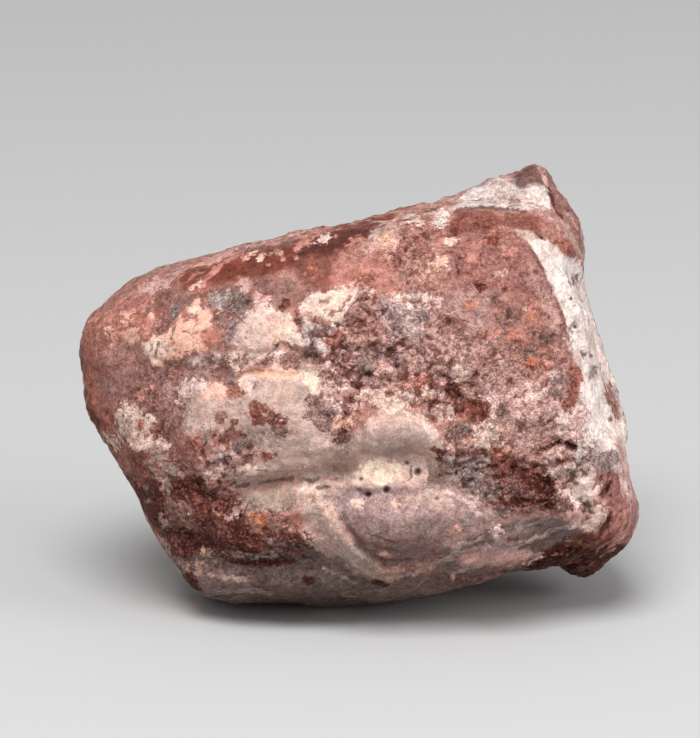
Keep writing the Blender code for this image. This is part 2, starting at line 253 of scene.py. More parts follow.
# Grounds: tone, how soft the edge is in pixels, outline. Later ones cover earlier ones.
# low in the middle, where the stone turns under: darker, partly painted shade
# the band under the dome: darker tones, partly painted shade of the overhang
# the bottom band, where the stone turns under: darker, as painted shade
# the bulge: lighter on top and darker on its lower half, partly painted light and shade
# the heel: dark red, and partly painted shade of the hollow under the lobe
# the side under the dome: dark, partly painted shade
GROUNDS = """
brick 5 60,280 240,250 260,420 120,470 60,420
dark_red 4 60,350 80,352 84,375 88,400 104,428 66,424
flesh 6 106,345 138,340 152,362 140,380 118,372 102,362
brown 6 98,376 150,366 216,352 214,400 180,440 160,430 120,408 106,400
pale_rose 5 182,364 216,351 236,348 290,352 300,362 240,366 214,372 190,374
taupe 5 158,366 184,360 200,366 216,350 240,352 240,380 205,388 180,406 166,392
clay 6 100,300 130,276 176,262 240,246 236,256 200,270 176,284 150,300 120,312
dark_red 5 204,278 210,270 224,262 250,252 300,238 330,228 388,212 392,220 366,240 345,250 332,262 330,285 \
318,288 306,283 296,271 280,272 262,278 243,278 228,281 214,286
maroon 5 300,246 330,236 364,226 366,236 340,248 318,260 298,262
russet 5 299,263 318,256 340,258 346,284 322,291 303,286
brown 4 206,292 228,284 250,281 280,277 300,286 312,292 300,306 276,310 250,312 228,306 212,300
brown 5 146,302 174,290 204,296 214,306 200,314 180,306 156,312 148,320
salmon 5 334,264 346,253 366,254 392,256 404,272 396,292 366,296 346,292 333,286
clay 5 398,230 420,222 452,222 454,262 430,266 402,260
flesh 6 402,260 430,266 454,260 456,302 402,298 394,272
cinnamon 6 450,228 512,232 540,262 552,300 500,306 456,300
heather 6 402,300 470,292 520,300 566,330 576,372 560,392 470,398 420,380 380,352 386,320
clay 8 496,300 552,296 572,340 576,366 540,372 500,350
heather 6 526,262 540,270 556,304 566,340 556,350 546,322 534,292
lilac_grey 5 378,300 424,300 426,330 412,338 392,344 382,334
heather 5 300,345 344,300 380,310 400,345 470,362 470,392 420,388 350,392 345,440 318,440 304,380
taupe 5 344,346 372,344 396,350 400,368 384,386 352,384 342,366
sand 4 186,400 206,386 226,382 240,376 260,368 318,366 326,400 334,440 346,466 300,478 240,474 228,466 \
244,452 250,440 226,432 204,436 186,440 184,420
beige 8 266,420 326,400 336,440 346,466 300,472 262,456
pale_rose 5 240,376 262,371 300,371 314,374 308,381 280,379 262,378 250,384
clay 5 168,438 206,434 240,440 248,462 240,490 206,506 176,490 164,460
rose 4 204,452 226,446 262,448 264,460 246,464 224,470 210,482 200,476
sand 4 226,470 250,462 300,462 350,462 352,474 300,478 290,482 262,486 236,490 228,482
maroon 5 160,486 214,492 236,496 250,512 296,514 306,548 270,560 200,562 168,540
flesh 4 250,512 302,510 304,526 284,530 264,532 250,526
silt 5 176,556 216,548 250,552 310,545 344,556 372,572 440,576 440,612 170,612
plum 5 196,572 230,572 250,580 244,600 204,602
brown 5 158,500 186,500 200,520 190,544 170,536 158,516
maroon 5 126,474 148,476 162,496 172,530 158,534 138,504
sand 6 338,458 380,458 430,456 446,466 440,486 400,488 350,486 336,472
oat 3 239,500 246,494 262,488 290,484 326,484 340,488 326,500 300,506 276,512 256,514 246,507
beige 5 300,484 350,478 420,480 450,486 480,504 400,520 330,514 306,508 298,498
sand 5 300,506 330,512 346,536 362,552 384,572 372,580 340,560 312,545 300,530
sand 4 356,434 366,420 384,411 414,412 430,424 444,440 430,458 380,460 350,456 342,446
dull_beige 6 338,448 364,444 366,458 356,468 340,474 332,464
dull_beige 5 366,454 374,448 388,443 406,441 415,446 413,455 398,458 380,459 370,458
oat 4 386,453 396,448 404,445 409,449 407,454 398,457 388,456
mauve 5 344,488 440,487 466,494 494,512 500,520 460,524 400,522 352,516 336,508
plum 5 342,514 400,519 470,518 498,518 496,534 456,546 400,548 356,542
plum 6 350,540 400,542 440,546 440,562 400,566 366,562
dusk 5 420,470 436,466 452,474 486,482 500,496 494,510 472,496 452,488 424,486
dusk 5 440,546 470,536 500,522 548,514 600,516 604,526 566,540 540,560 506,566 456,572 436,566
slate 5 440,556 470,545 500,545 540,548 560,530 590,520 600,524 566,540 540,560 506,566 456,572 436,568
rose 5 456,560 480,548 520,548 530,560 500,566 470,568
slate 3 500,532 514,526 534,521 552,515 560,520 540,528 520,532
dusk 5 394,576 440,574 470,568 500,566 566,560 560,590 380,606
rose 6 500,388 556,384 582,400 592,440 566,450 520,450 500,438
maroon 4 486,460 500,454 514,456 518,466 534,472 556,480 562,494 560,508 546,508 500,508 488,496 498,476
umber 5 504,484 520,480 540,486 548,499 530,503 508,501
pale_rose 5 542,454 572,444 596,470 572,502 556,498 554,480
umber 4 498,504 520,506 562,502 552,516 524,520 500,518
rose 5 568,504 576,480 600,472 606,520 590,530 570,524
cinnamon 5 596,476 622,470 642,490 644,540 604,552 594,536 606,520
dark_red 4 562,538 604,530 616,540 600,546 562,550
soot 4 542,552 560,544 600,545 622,544 636,548 600,584 530,580 500,572 530,566
pitch 4 534,556 556,549 590,552 602,560 590,580 560,574 526,568
ivory 3 518,231 530,235 546,239 556,246 565,256 575,262 620,300 650,440 628,470 612,468 598,446 590,420 \
580,405 579,392 581,380 578,368 573,355 570,345 566,328 560,312 555,300 551,285 545,274 538,262 528,240
russet 3 455,210 480,210 500,213 530,214 546,221 558,229 567,239 573,250 572,257 564,250 556,243 547,237 \
535,233 520,229 500,228 456,230
flesh 4 540,222 552,225 562,234 568,246 572,258 564,250 554,240 542,232
rose 4 430,208 440,200 456,196 456,212 446,224 434,224
chalk 3 452,207 462,194 484,182 512,178 550,184 550,206 534,210 506,208 476,208
ivory 4 500,206 516,196 534,186 548,190 552,206 530,210
umber 3 512,184 514,172 540,158 546,166 548,180 534,184 522,188
brown 3 541,166 560,170 590,226 584,250 578,249 573,236 560,216 549,196
"""

# Crust on the ground, with a crisp edge: tone, outline.
# a light spot on the heel's edge: partly painted glint
# the dome's upper rim: paler pink, partly painted light where it faces up
# the heel: dark red, and partly painted shade of the hollow under the lobe
CRUSTS = """
apricot 148,314 153,312 155,320 154,330 157,334 165,332 170,328 175,323 181,312 184,318 192,321 194,316 \
187,312 189,306 193,304 197,299 200,303 199,308 205,308 210,310 214,318 211,328 218,333 221,341 212,345 \
210,350 208,354 203,357 198,354 196,348 190,353 184,360 176,361 172,358 166,360 163,365 157,367 152,363 \
149,356 144,352 143,345 147,339 152,335 150,328 147,322
peach 120,312 126,308 132,310 130,316 124,318 120,316
peach 123,327 125,322 131,317 134,311 138,311 136,318 131,324 129,328
salmon 136,327 139,321 143,320 141,326 138,329
salmon 117,306 121,300 128,299 132,303 128,308 120,309
salmon 104,319 107,313 113,313 110,321
peach 102,331 106,326 111,326 113,333 109,337 105,334
peach 107,344 110,338 115,333 122,332 118,339 114,342 111,347
salmon 119,337 124,331 131,330 131,338 126,342
peach 129,339 131,331 138,330 136,340 131,342
salmon 138,307 142,301 149,299 148,307 142,309
rose 140,290 148,281 158,277 163,283 154,291 146,294
rose 160,286 163,278 170,275 172,281 168,288
salmon 91,321 96,314 104,313 100,319 95,323
salmon 93,351 94,340 98,334 100,343 99,353
salmon 170,275 176,269 184,268 178,274
salmon 144,331 148,323 152,321 152,329 149,333
bark 568,545 573,539 582,536 590,538 590,542 580,546 573,548
cream 209,271 205,276 201,282 198,287 192,290 190,287 195,282 199,276 203,272
heather 170,277 180,269 195,264 208,259 222,251 234,247 250,244 280,237 300,232 314,229 318,231 300,236 \
280,241 262,246 240,250 232,253 222,257 212,262 200,267 190,270 180,274
apricot 242,255 246,252 253,250 259,251 254,256 248,259 243,258
apricot 257,258 261,256 265,258 261,261
tan 272,253 280,250 284,252 276,256
salmon 294,248 298,243 303,239 309,237 312,240 306,245 300,249 296,250
cream 316,242 320,237 327,234 331,236 327,241 320,244
rose 240,292 240,282 245,277 251,280 250,290 245,294
rose 248,298 256,294 266,296 268,300 258,302
pale_rose 241,320 244,311 255,306 268,304 276,311 286,312 292,320 282,326 262,324 248,324
beige 231,348 232,338 236,328 240,321 250,321 262,322 276,318 288,319 296,324 302,332 303,342 296,346 \
288,342 281,341 278,348 270,349 262,352 250,350 240,352 235,345
cream 283,340 280,330 286,320 294,322 300,330 300,341 290,341
cream 299,318 300,303 308,297 320,292 332,289 345,286 358,284 363,290 356,298 350,303 346,312 343,322 \
333,327 324,325 314,318 308,312 303,316
pale_rose 300,322 306,316 314,322 312,330 304,330
cream 222,357 226,351 234,353 240,356 236,362 238,368 232,366 230,360
pale_rose 212,360 216,354 221,356 222,366 217,370 212,368
cream 246,362 247,353 258,353 270,355 272,357 262,359 254,362
cream 276,354 280,350 287,351 286,356 279,357
apricot 236,378 240,371 256,367 280,367 300,369 308,373 300,378 280,379 260,377 246,379
cream 236,381 242,376 254,380 252,390 248,396 242,392
straw 304,371 312,369 318,377 318,392 321,401 314,399 309,388 304,380
apricot 206,387 214,382 224,382 228,388 226,396 216,398 206,396 200,392
pale_rose 181,384 189,379 197,378 203,380 205,386 198,390 190,394 186,400 180,406 176,402 178,392
cream 114,415 117,410 122,408 125,403 129,406 134,407 139,411 144,416 149,419 153,414 155,419 154,426 \
151,430 147,431 152,438 156,445 150,449 143,452 136,451 130,446 125,440 120,436 118,430 117,424
cream 158,436 162,434 166,440 171,446 168,450 163,452 158,450 155,446
dull_beige 150,450 160,452 168,462 175,470 180,474 178,478 170,477 163,470 156,463
cream 103,434 108,433 114,438 121,445 118,450 113,447 107,441
dull_beige 146,460 152,463 153,472 160,480 157,482 150,478
dull_beige 160,482 168,479 170,485 175,490 174,495 168,495 162,490
rose 221,441 226,436 232,437 233,444 229,448 224,446
apricot 220,449 230,447 240,452 236,456 228,453
ivory 214,460 216,455 221,452 224,458 222,465 217,466
pale_rose 206,472 212,466 222,468 224,474 216,480 208,478
rose 232,452 246,450 258,454 258,460 246,463 234,461
salmon 205,334 216,331 221,340 212,345 206,342
cream 145,345 150,337 157,338 163,346 160,355 153,358 148,353
cream 248,466 258,464 260,468 252,471
tan 193,574 196,560 206,548 215,549 212,556 204,562 200,575
tan 178,561 184,562 192,568 188,571
mauve 162,539 170,542 177,550 184,557 186,563 178,560 170,552 165,546
mauve 158,516 163,516 173,532 172,537 165,530
cream 240,509 235,516 227,521 226,518 231,515 235,509 239,507
orange 214,510 218,510 226,517 224,520 216,514
rust 252,516 260,512 267,518 266,528 258,530 253,524
salmon 276,516 286,512 300,514 303,522 298,532 288,528 282,522
heather 530,205 542,208 553,214 562,223 569,234 571,241 562,231 553,222 542,215 533,210
cream 355,397 363,392 372,390 383,388 390,392 398,393 405,390 412,392 421,397 414,402 408,404 404,410 \
398,412 390,414 382,412 376,408 370,402 362,400
pale_rose 364,428 370,419 378,415 376,424 374,434 376,442 368,440
pale_rose 404,413 416,414 424,418 431,427 437,433 442,440 440,446 433,441 427,432 419,422 410,418
straw 352,475 360,467 370,464 380,460 392,462 404,467 410,474 405,480 395,479 385,484 372,482 362,480
beige 404,466 410,458 424,458 428,470 424,482 410,480
cream 300,486 310,484 320,486 316,491 304,491
apricot 392,499 397,499 398,508 394,508
sand 404,496 424,492 444,494 452,504 436,510 414,508
cream 350,503 358,501 366,504 356,508
rose 366,366 374,361 392,363 394,372 384,376 372,374
pale_rose 325,356 324,347 331,347 334,356 330,360
pale_rose 324,374 328,360 334,361 334,372 330,378
pale_rose 334,384 334,373 341,372 345,378 345,386 339,389
pale_rose 324,396 323,384 332,382 338,390 336,398 328,399
rose 346,364 348,355 356,354 358,362 352,366
apricot 328,426 334,417 345,415 352,420 346,428 336,430
pale_rose 322,412 326,403 338,402 344,408 338,414 328,416
rose 346,402 354,400 362,404 356,410 348,408
pale_rose 310,446 314,438 326,436 328,444 322,450 312,452
salmon 347,244 352,240 364,237 366,240 356,245
rose 366,252 372,240 371,233 380,226 388,222 396,222 401,228 401,240 397,250 392,256 385,250 377,250
apricot 380,244 384,237 392,237 393,243 386,247
cream 403,221 405,216 414,216 424,220 418,224 408,222
salmon 431,241 434,236 448,238 447,243 438,243
cream 448,243 450,238 455,236 458,240 454,244 450,247
ivory 436,213 440,210 448,211 448,217 441,218
ivory 436,223 440,219 446,220 447,224 440,226
rose 424,270 428,262 436,258 446,259 444,266 436,270 428,272
cream 392,300 396,295 412,294 430,295 431,301 424,305 408,304 396,305
rose 470,298 470,292 478,289 484,293 480,299
pale_rose 404,297 418,295 432,295 443,300 440,306 424,308 408,306
cream 522,308 528,304 532,310 527,315
salmon 528,304 538,302 540,308 533,310
orange 527,316 532,313 538,313 536,318 533,322 529,320
orange 507,336 508,329 514,326 521,329 519,337 511,341
salmon 520,330 527,330 527,338 521,340
salmon 536,366 548,362 556,364 548,369 538,371
pale_rose 548,378 552,370 562,369 568,374 560,378 554,382
pale_rose 514,396 516,388 530,386 545,390 540,400 524,401
ivory 484,400 484,395 488,392 492,396 490,402
pale_rose 487,418 488,404 493,395 498,402 496,412 491,420
beige 420,398 419,391 426,386 436,387 439,394 430,397
beige 421,413 430,408 445,406 456,408 459,414 450,420 440,418 428,417
cream 471,441 474,430 476,423 484,420 490,425 497,428 500,440 500,449 486,450 475,447
rose 448,450 450,443 460,440 470,442 468,450 458,451
grey 474,464 480,454 490,453 490,462 482,466
shell 541,479 543,472 550,469 560,467 571,469 563,473 552,475 546,480
pale_rose 548,467 560,462 578,464 576,469 560,468
apricot 430,267 434,259 444,256 447,262 438,268
salmon 461,260 466,255 476,257 475,262 466,264
rose 496,277 499,270 507,269 507,275
salmon 500,247 512,246 521,250 516,257 504,255
salmon 401,381 412,375 426,375 431,382 414,386
pale_rose 446,378 450,369 460,366 466,372 462,380 452,382
pale_rose 352,302 358,292 366,287 373,292 366,300 358,306
orange 462,304 470,301 478,304 472,309 464,309
salmon 484,332 492,328 499,333 494,340 486,339
rose 430,346 440,342 448,346 442,352 432,352
rose 548,296 554,300 560,314 562,326 556,320 550,308
shell 568,502 572,482 580,474 594,474 600,484 598,498 588,504 578,508
cream 583,524 590,514 598,504 606,508 606,520 598,528 588,530
pale_grey 568,472 570,448 582,438 598,436 602,450 594,464 580,474
white 576,420 582,396 592,384 603,392 609,408 607,426 596,436 582,438
white 558,262 570,257 580,264 587,290 593,320 586,324 574,304 564,282
salmon 577,418 578,408 584,408 585,418 580,421
pale_rose 558,440 560,408 572,402 584,410 582,432 570,440
pale_rose 490,533 492,527 499,526 504,530 500,534
apricot 501,557 503,551 508,552 513,558 508,562
rose 496,556 502,549 512,552 518,558 512,563 502,563
rose 520,561 524,555 536,552 541,555 532,562
tan 379,580 382,571 392,567 404,567 405,575 396,581 388,583
tan 414,570 424,563 438,562 436,567 424,571
apricot 376,557 381,553 388,554 384,558
oat 328,520 334,522 350,542 372,562 380,572 374,574 352,556 336,538
rose 618,462 616,446 620,440 626,462 632,486 630,500 624,494 620,478
apricot 590,568 598,561 601,564 594,571
"""

# Stains and gaps on top of the crust: tone, outline.
# the heel: dark red, and partly painted shade of the hollow under the lobe
# the ledge low on the left: dark, partly painted shadow
STAINS = """
brick 155,322 158,314 165,309 172,308 176,312 178,318 173,324 168,330 160,333 155,330
brown 153,334 154,324 160,319 168,325 166,332 158,334
slate 171,306 175,304 180,309 179,316 175,317 172,312
clay 165,378 165,362 176,360 186,362 184,374 174,380
umber 156,386 158,374 164,372 164,384 160,390
salmon 138,399 139,389 147,387 150,393 145,399
brick 138,428 138,420 142,420 142,429
russet 186,448 190,438 206,437 206,446 196,450
russet 130,480 131,456 140,454 148,464 149,478 140,484
maroon 150,480 160,484 160,498 152,500
maroon 174,498 174,486 180,478 200,478 206,488 204,500 190,502
umber 243,256 244,252 256,248 272,246 286,242 296,239 297,241 280,246 262,250 250,252
rust 306,269 309,265 315,265 319,270 313,275 308,274
slate 210,302 213,294 228,290 242,294 252,300 247,312 240,322 230,324 222,314 212,308
grey 209,301 212,294 224,291 228,298 220,306 212,307
brown 214,327 213,310 222,313 236,318 238,328 230,338 223,332
brown 216,330 223,332 230,338 231,349 224,353 216,348 222,340
maroon 280,302 286,300 290,305 286,313 280,309
umber 295,312 300,314 305,324 308,334 304,334 298,322
pale_grey 303,346 303,326 310,322 320,326 334,328 342,332 342,346 332,350 318,352 308,350
lilac_grey 336,330 336,322 342,321 345,327 343,333
mauve 232,326 236,325 238,332 234,342 231,344
brown 255,366 258,361 268,357 272,353 276,354 274,361 266,367
brown 281,363 284,354 291,350 298,352 300,367 290,368 284,367
dusk 300,358 303,350 312,351 322,356 318,362 306,362
brown 213,376 216,368 224,364 229,368 227,378 219,380
brown 223,380 229,378 238,382 241,389 247,394 238,396 231,391
brick 228,396 229,391 236,391 238,396 232,398
mauve 251,384 252,379 257,380 258,385 253,388
russet 250,403 257,400 262,403 268,409 276,412 282,418 276,422 270,418 262,412 254,410
russet 249,411 258,411 270,419 268,424 258,425 250,421
clay 276,422 285,417 289,418 287,428 288,434 281,431
russet 260,413 274,416 284,424 288,433 278,431 268,425 257,421
dusk 273,430 279,433 286,431 287,434 280,438 276,438
brown 216,413 225,411 225,417 221,424 218,419
russet 231,420 237,420 238,428 245,432 252,440 246,443 238,438 231,435 225,432 229,426
dusk 203,440 206,433 211,430 212,437 206,442
russet 262,458 266,453 277,453 276,457 268,460
umber 223,464 223,455 227,453 231,460 231,466 226,466
dusk 234,447 237,440 249,441 253,446 244,449
brown 303,417 307,410 318,403 324,405 321,411 311,417
maroon 194,513 210,505 227,513 234,525 214,530 198,523
soot 248,557 262,553 280,554 286,558 278,564 262,565
maroon 166,528 186,528 200,536 192,552 178,552 168,540
plum 258,551 260,542 272,539 287,542 286,550 270,554
plum 219,558 224,551 238,551 242,558 230,562
maroon 300,536 306,532 314,542 312,548 304,546
umber 338,440 338,430 346,428 350,434 348,442 343,444
brick 329,342 334,335 341,335 345,341 341,347 333,348
brown 350,322 351,314 357,305 364,303 373,312 378,322 368,317 360,313 353,317
flesh 349,330 352,321 360,315 364,315 368,322 376,329 373,335 364,339 353,338
umber 331,366 334,350 340,349 341,356 337,366
dusk 360,351 368,346 378,347 380,356 366,360
dusk 358,372 358,364 368,362 372,372 364,378
brick 356,281 360,274 372,271 379,276 374,282 362,284
clay 404,252 404,246 410,247 419,257 416,260 408,257
brick 470,240 474,234 490,231 508,234 506,239 490,241 478,243
dark_red 450,234 450,227 458,226 460,233 456,238
dark_red 489,243 492,240 498,240 498,245 492,246
brown 506,342 514,341 521,345 519,352 509,351
maroon 478,289 482,283 489,286 486,291
umber 488,306 491,297 497,293 501,302 496,309
brown 494,312 506,307 517,312 521,323 508,327 496,320
brown 438,323 452,317 465,324 461,333 444,331
umber 537,336 546,330 554,338 549,348 540,345
dusk 524,358 526,350 534,350 542,356 534,361
rust 525,369 526,361 535,361 536,366 530,370
russet 566,374 572,366 578,370 582,380 578,390 576,402 568,411 560,405 565,392
dusk 549,385 555,379 565,378 564,383 556,386
dusk 546,391 554,389 562,390 562,397 556,400 550,395
maroon 444,389 448,385 456,384 462,392 459,400 449,399
dark_red 452,404 462,400 482,399 490,408 484,420 470,426 458,420
brick 459,422 462,413 470,410 476,418 468,426
dusk 447,440 446,428 456,424 472,427 470,434 456,440
maroon 432,450 438,445 445,450 452,456 446,464 441,464 438,456
maroon 452,456 468,450 486,450 488,455 470,458
maroon 518,479 530,473 544,476 557,483 559,495 548,499 537,493 527,489
umber 489,496 490,484 497,480 500,490 497,500
blue_grey 448,470 450,455 470,455 482,464 492,470 488,477 476,478 456,476
slate 456,481 474,479 492,481 498,490 490,498 474,492 458,488
russet 492,456 504,452 513,458 515,466 508,474 498,469
umber 548,504 560,497 570,500 572,508 562,515 550,512
dusk 496,418 497,408 504,404 508,410 504,418
taupe 306,398 320,397 330,410 332,426 322,432 312,424 306,412
soot 541,452 546,446 558,440 569,442 575,448 571,453 566,448 556,446 548,451
rose 548,462 550,454 560,450 568,452 569,462 560,466
pale_rose 561,488 561,476 569,475 575,480 573,486 568,490
soot 534,494 536,480 548,478 553,488 546,496
slate 584,511 584,503 590,503 590,510 587,513
soot 500,505 516,498 532,497 550,499 550,506 532,506 512,508
dark_grey 494,513 500,508 508,511 512,514 504,517 498,516
blue_grey 590,468 592,458 604,450 616,452 618,462 610,470 600,472
brown 606,396 606,386 610,382 616,392 619,404 620,420 616,421 610,408
grey 589,378 591,366 596,366 597,374 594,379
slate 571,284 571,276 576,274 577,282 574,286
mauve 509,203 511,196 519,196 521,202 515,205
brick 552,239 560,239 569,246 574,254 568,255 560,247
maroon 170,552 176,536 190,536 204,542 236,537 262,541 256,549 222,551 200,548 194,556 186,560
soot 188,584 186,574 196,576 202,596 194,590
umber 446,584 452,576 470,575 500,568 500,574 472,584
brown 428,556 431,550 438,548 443,550 442,555 435,558
slate 559,539 562,533 570,532 572,536 566,541
soot 560,576 566,556 600,552 604,566 590,580
"""

# Thin marks on top of everything: tone, half width in pixels, path.
# a dark line in the valley under the crest: painted shade
# a dark line under the fold low on the right: partly painted shade
# a grey band under the dome: painted shade of the overhang
# a pale line on the bulge's upper edge: painted highlight
# along the ledge low on the left and the bottom edge: dark lines, partly painted shadow and shade
# dark lines in the gaps round the knobs: partly their colour, partly painted shade
# the crease: dark lines in the groove, partly painted shade
# thin red-brown lines in the dark heel: partly grains, partly painted glints
LINES = """
dusk 1.2 183,332 195,333 207,332
dusk 1.4 150,343 150,350
dusk 1.6 160,342 157,350 156,357
mauve 2 164,348 169,346 166,351
dusk 1.4 175,325 174,331 173,336
dusk 1.8 171,338 174,343
dusk 1.8 174,350 176,352
dusk 1.2 194,347 188,352 185,358
mauve 1.5 186,305 188,312 192,316
mauve 1.5 196,312 197,322 194,328
apricot 1.8 277,344 277,334 283,322
dusk 1.5 266,355 271,351 276,348 280,343 286,344 292,347 298,349
dark_grey 1.6 265,421 271,425 276,428
slate 1.4 226,402 229,404 231,407
slate 1.4 255,467 260,470 266,471
dusk 1.8 232,487 240,486 250,484 266,482 280,480 292,478
slate 2 305,478 308,480 314,480 318,479
slate 2.2 318,488 323,487 329,487
salmon 2.4 236,378 244,372 252,370 264,369
salmon 1.5 213,508 220,514 229,521
rose 1.6 226,519 232,518 235,512 240,508
umber 1.8 296,312 298,320 301,330
lilac_grey 3 371,238 376,232 384,228
umber 1.3 347,320 349,309 357,300 364,301 372,311 379,322
umber 1.6 346,346 352,344 360,346 366,349 372,344 378,342 384,347 392,350 400,352 408,349 416,348 422,350
umber 1.6 338,350 338,356 336,364
umber 1.6 344,366 350,364 354,368 360,364
umber 1.6 352,368 364,372 380,378 398,381 410,380
umber 1.6 360,384 368,385 374,386 380,388
umber 1.6 385,331 392,334 397,338
umber 1.6 388,361 394,365 400,368
umber 1.6 420,350 424,358 428,364 436,366
umber 1.6 400,340 408,341 414,344
umber 1.8 418,404 430,402 440,402 448,404 462,408
umber 1.6 314,336 322,338 330,346
dusk 1.2 411,465 411,478 400,484
umber 2.6 456,210 468,208 482,208 498,209 512,209 526,212
maroon 1.6 530,229 538,234 545,241
dark_red 3.5 184,288 200,277 216,268
salmon 2 200,290 208,280 218,268 232,258 246,250
rose 1.8 540,167 544,176 548,186
maroon 1.8 549,188 552,198 556,208 562,218
rose 1.6 568,214 574,223 577,232
russet 2.2 530,248 538,262 545,275 551,288 556,300 561,314 566,328 570,340
umber 1.6 524,352 530,350 538,353 545,358
umber 1.6 450,454 462,456 470,454 478,452 486,453 492,456
maroon 1.6 482,468 488,466 492,467
umber 1.6 514,464 524,463 532,465 540,465
umber 1.6 572,456 575,460 578,466
dusk 1.5 551,421 554,417 558,412
dusk 1.8 540,418 544,424 549,422
umber 1.4 536,416 542,418 548,421
dusk 1.2 582,458 588,454 592,450
dusk 1.2 585,463 592,460 600,458
grey 2 581,350 583,357
grey 1.8 574,321 570,328 573,333
maroon 2.8 508,540 522,541 532,540 540,536 549,528
lilac_grey 2.6 480,545 500,548 525,545 540,538 560,528 590,523
grey 1.8 514,529 524,526 535,523 550,517
dull_beige 2.2 446,562 460,553 480,547
dull_beige 2.2 384,577 400,576 420,572 444,560 460,548
umber 1.6 520,549 530,545 540,541
mauve 2.4 452,576 462,570 480,566
dull_beige 2.2 300,530 306,540 318,548 330,556
soot 4 205,540 222,545 240,549 256,551
soot 3.5 222,558 236,561 262,565 292,561
silt 3 200,558 216,562 232,568
maroon 3 262,546 284,548 300,552
silt 4 236,576 262,572 290,575 330,584
soot 2.6 305,580 309,584 311,578
silt 3 210,598 250,592 300,594 350,590
dull_beige 2 206,574 224,577 246,582
grey 1.5 222,551 240,554 262,557 280,555
grey 2 318,566 336,574 356,584
soot 2.6 372,583 380,583 388,585
maroon 2.4 182,541 198,543 214,546 230,549
slate 2 343,512 350,526 360,541 372,553 384,561
grey 3 388,451 400,450 411,449
pale_rose 3 440,492 454,495 468,503 480,513
heather 2 556,216 566,232 574,248
umber 1.8 356,536 368,543 384,548 400,551
umber 1.6 366,532 382,538 398,541
brown 1.8 404,540 420,541 438,536 454,528
umber 1.6 372,556 390,560 408,559
brown 1.6 412,552 430,545 448,537 466,530
sand 2.2 452,548 466,542 482,538
grey 2 210,592 240,590 270,594
peach 2.4 186,271 194,267 206,264 220,258
dark_red 2.6 182,281 187,275 195,271 206,269
salmon 2 617,537 622,530 626,521
orange 2 623,537 628,530 631,523
salmon 1.8 607,525 614,514 619,507
salmon 1.8 611,531 618,520 623,511
salmon 1.8 602,537 608,530 613,523
peach 1.8 611,547 618,541 625,535
salmon 1.6 606,551 613,546 620,542
salmon 1.8 624,517 628,511 633,506
maroon 2.2 600,532 606,524 610,516
maroon 2 598,494 606,490 612,480
pale_rose 3.2 619,467 621,477 625,487 630,495
russet 1.6 552,556 560,554 567,554
russet 1.4 566,563 574,562 582,559
brown 1.8 596,550 604,545 612,540
brown 1.6 600,557 608,552 616,548
russet 1.6 584,547 590,544 598,541
russet 1.4 578,569 588,567 595,562
"""

# Small round marks on top of everything: tone, radius in pixels, places.
# dark dots in the pits: partly their colour, partly painted shade
# small cream dots: pale grains, partly painted highlights
DOTS = """
cream 2 221,309 341,327 438,367 424,314 400,312 568,362 305,467
cream 1.6 217,313 188,514 449,269 496,337
dusk 2 127,421 138,435 396,322 415,320 158,380
salmon 2.6 136,296 106,352 152,300 100,326 175,297 128,293
salmon 2.2 268,265 283,259 305,273 316,270 296,258 318,234 336,236 274,282 295,292
dark_grey 3 418,472 386.5,489 368,494
dusk 2 407,463 361,479 360,490 437,498 462,505
slate 2.4 611,420 336,479
slate 1.8 575,327 584,355 591,356 571,299 598,367
apricot 2.2 203,550 458,527 300,468 453,578 524,202
tan 2.6 146,487 148,501 189,527 145,462
"""

# How wide a patch's edge is, and how far its tint reaches past it, in pixels.
PATCH_SOFT = 5.0
PATCH_SPREAD = 6.0
# The most that a patch and a line cover.
FULL_COVER = 0.86
LINE_COVER = 0.82

# Colours of the sides that the photograph doesn't show: tones, size of the patches, seed.
HIDDEN_GROUND = (("dark_red", "brick", "flesh", "mauve", "dull_beige"), 11.0, 31)
HIDDEN_CRUST = (("apricot", "cream", "pale_rose"), 8.0, 51)
HIDDEN_STAIN = (("maroon", "umber", "brown", "russet"), 6.0, 61)
# Where crust and stains cover those sides: size of the patches, seed, level of noise that is half covered.
CRUST_COVER = (9.0, 52, 0.16)
STAIN_COVER = (6.0, 62, 0.36)
# The pale break goes on behind the right end: how far the surface faces right, and how far right it is.
BREAK_FACING = (0.62, 0.78)
BREAK_FROM = (10, 20)
BREAK_NOISE = (4, 33)
# The underside gets painted shade where it faces down, and the heel's dark red, partly painted shade of the
# hollow under the lobe, goes on behind it, by place to the right and height.
UNDERSIDE_SHADE_FACING = (0.15, 0.75)
HEEL_FROM = (20, 27)
HEEL_HEIGHTS = (13, 8)
HIDDEN_STREAKS = 0.4

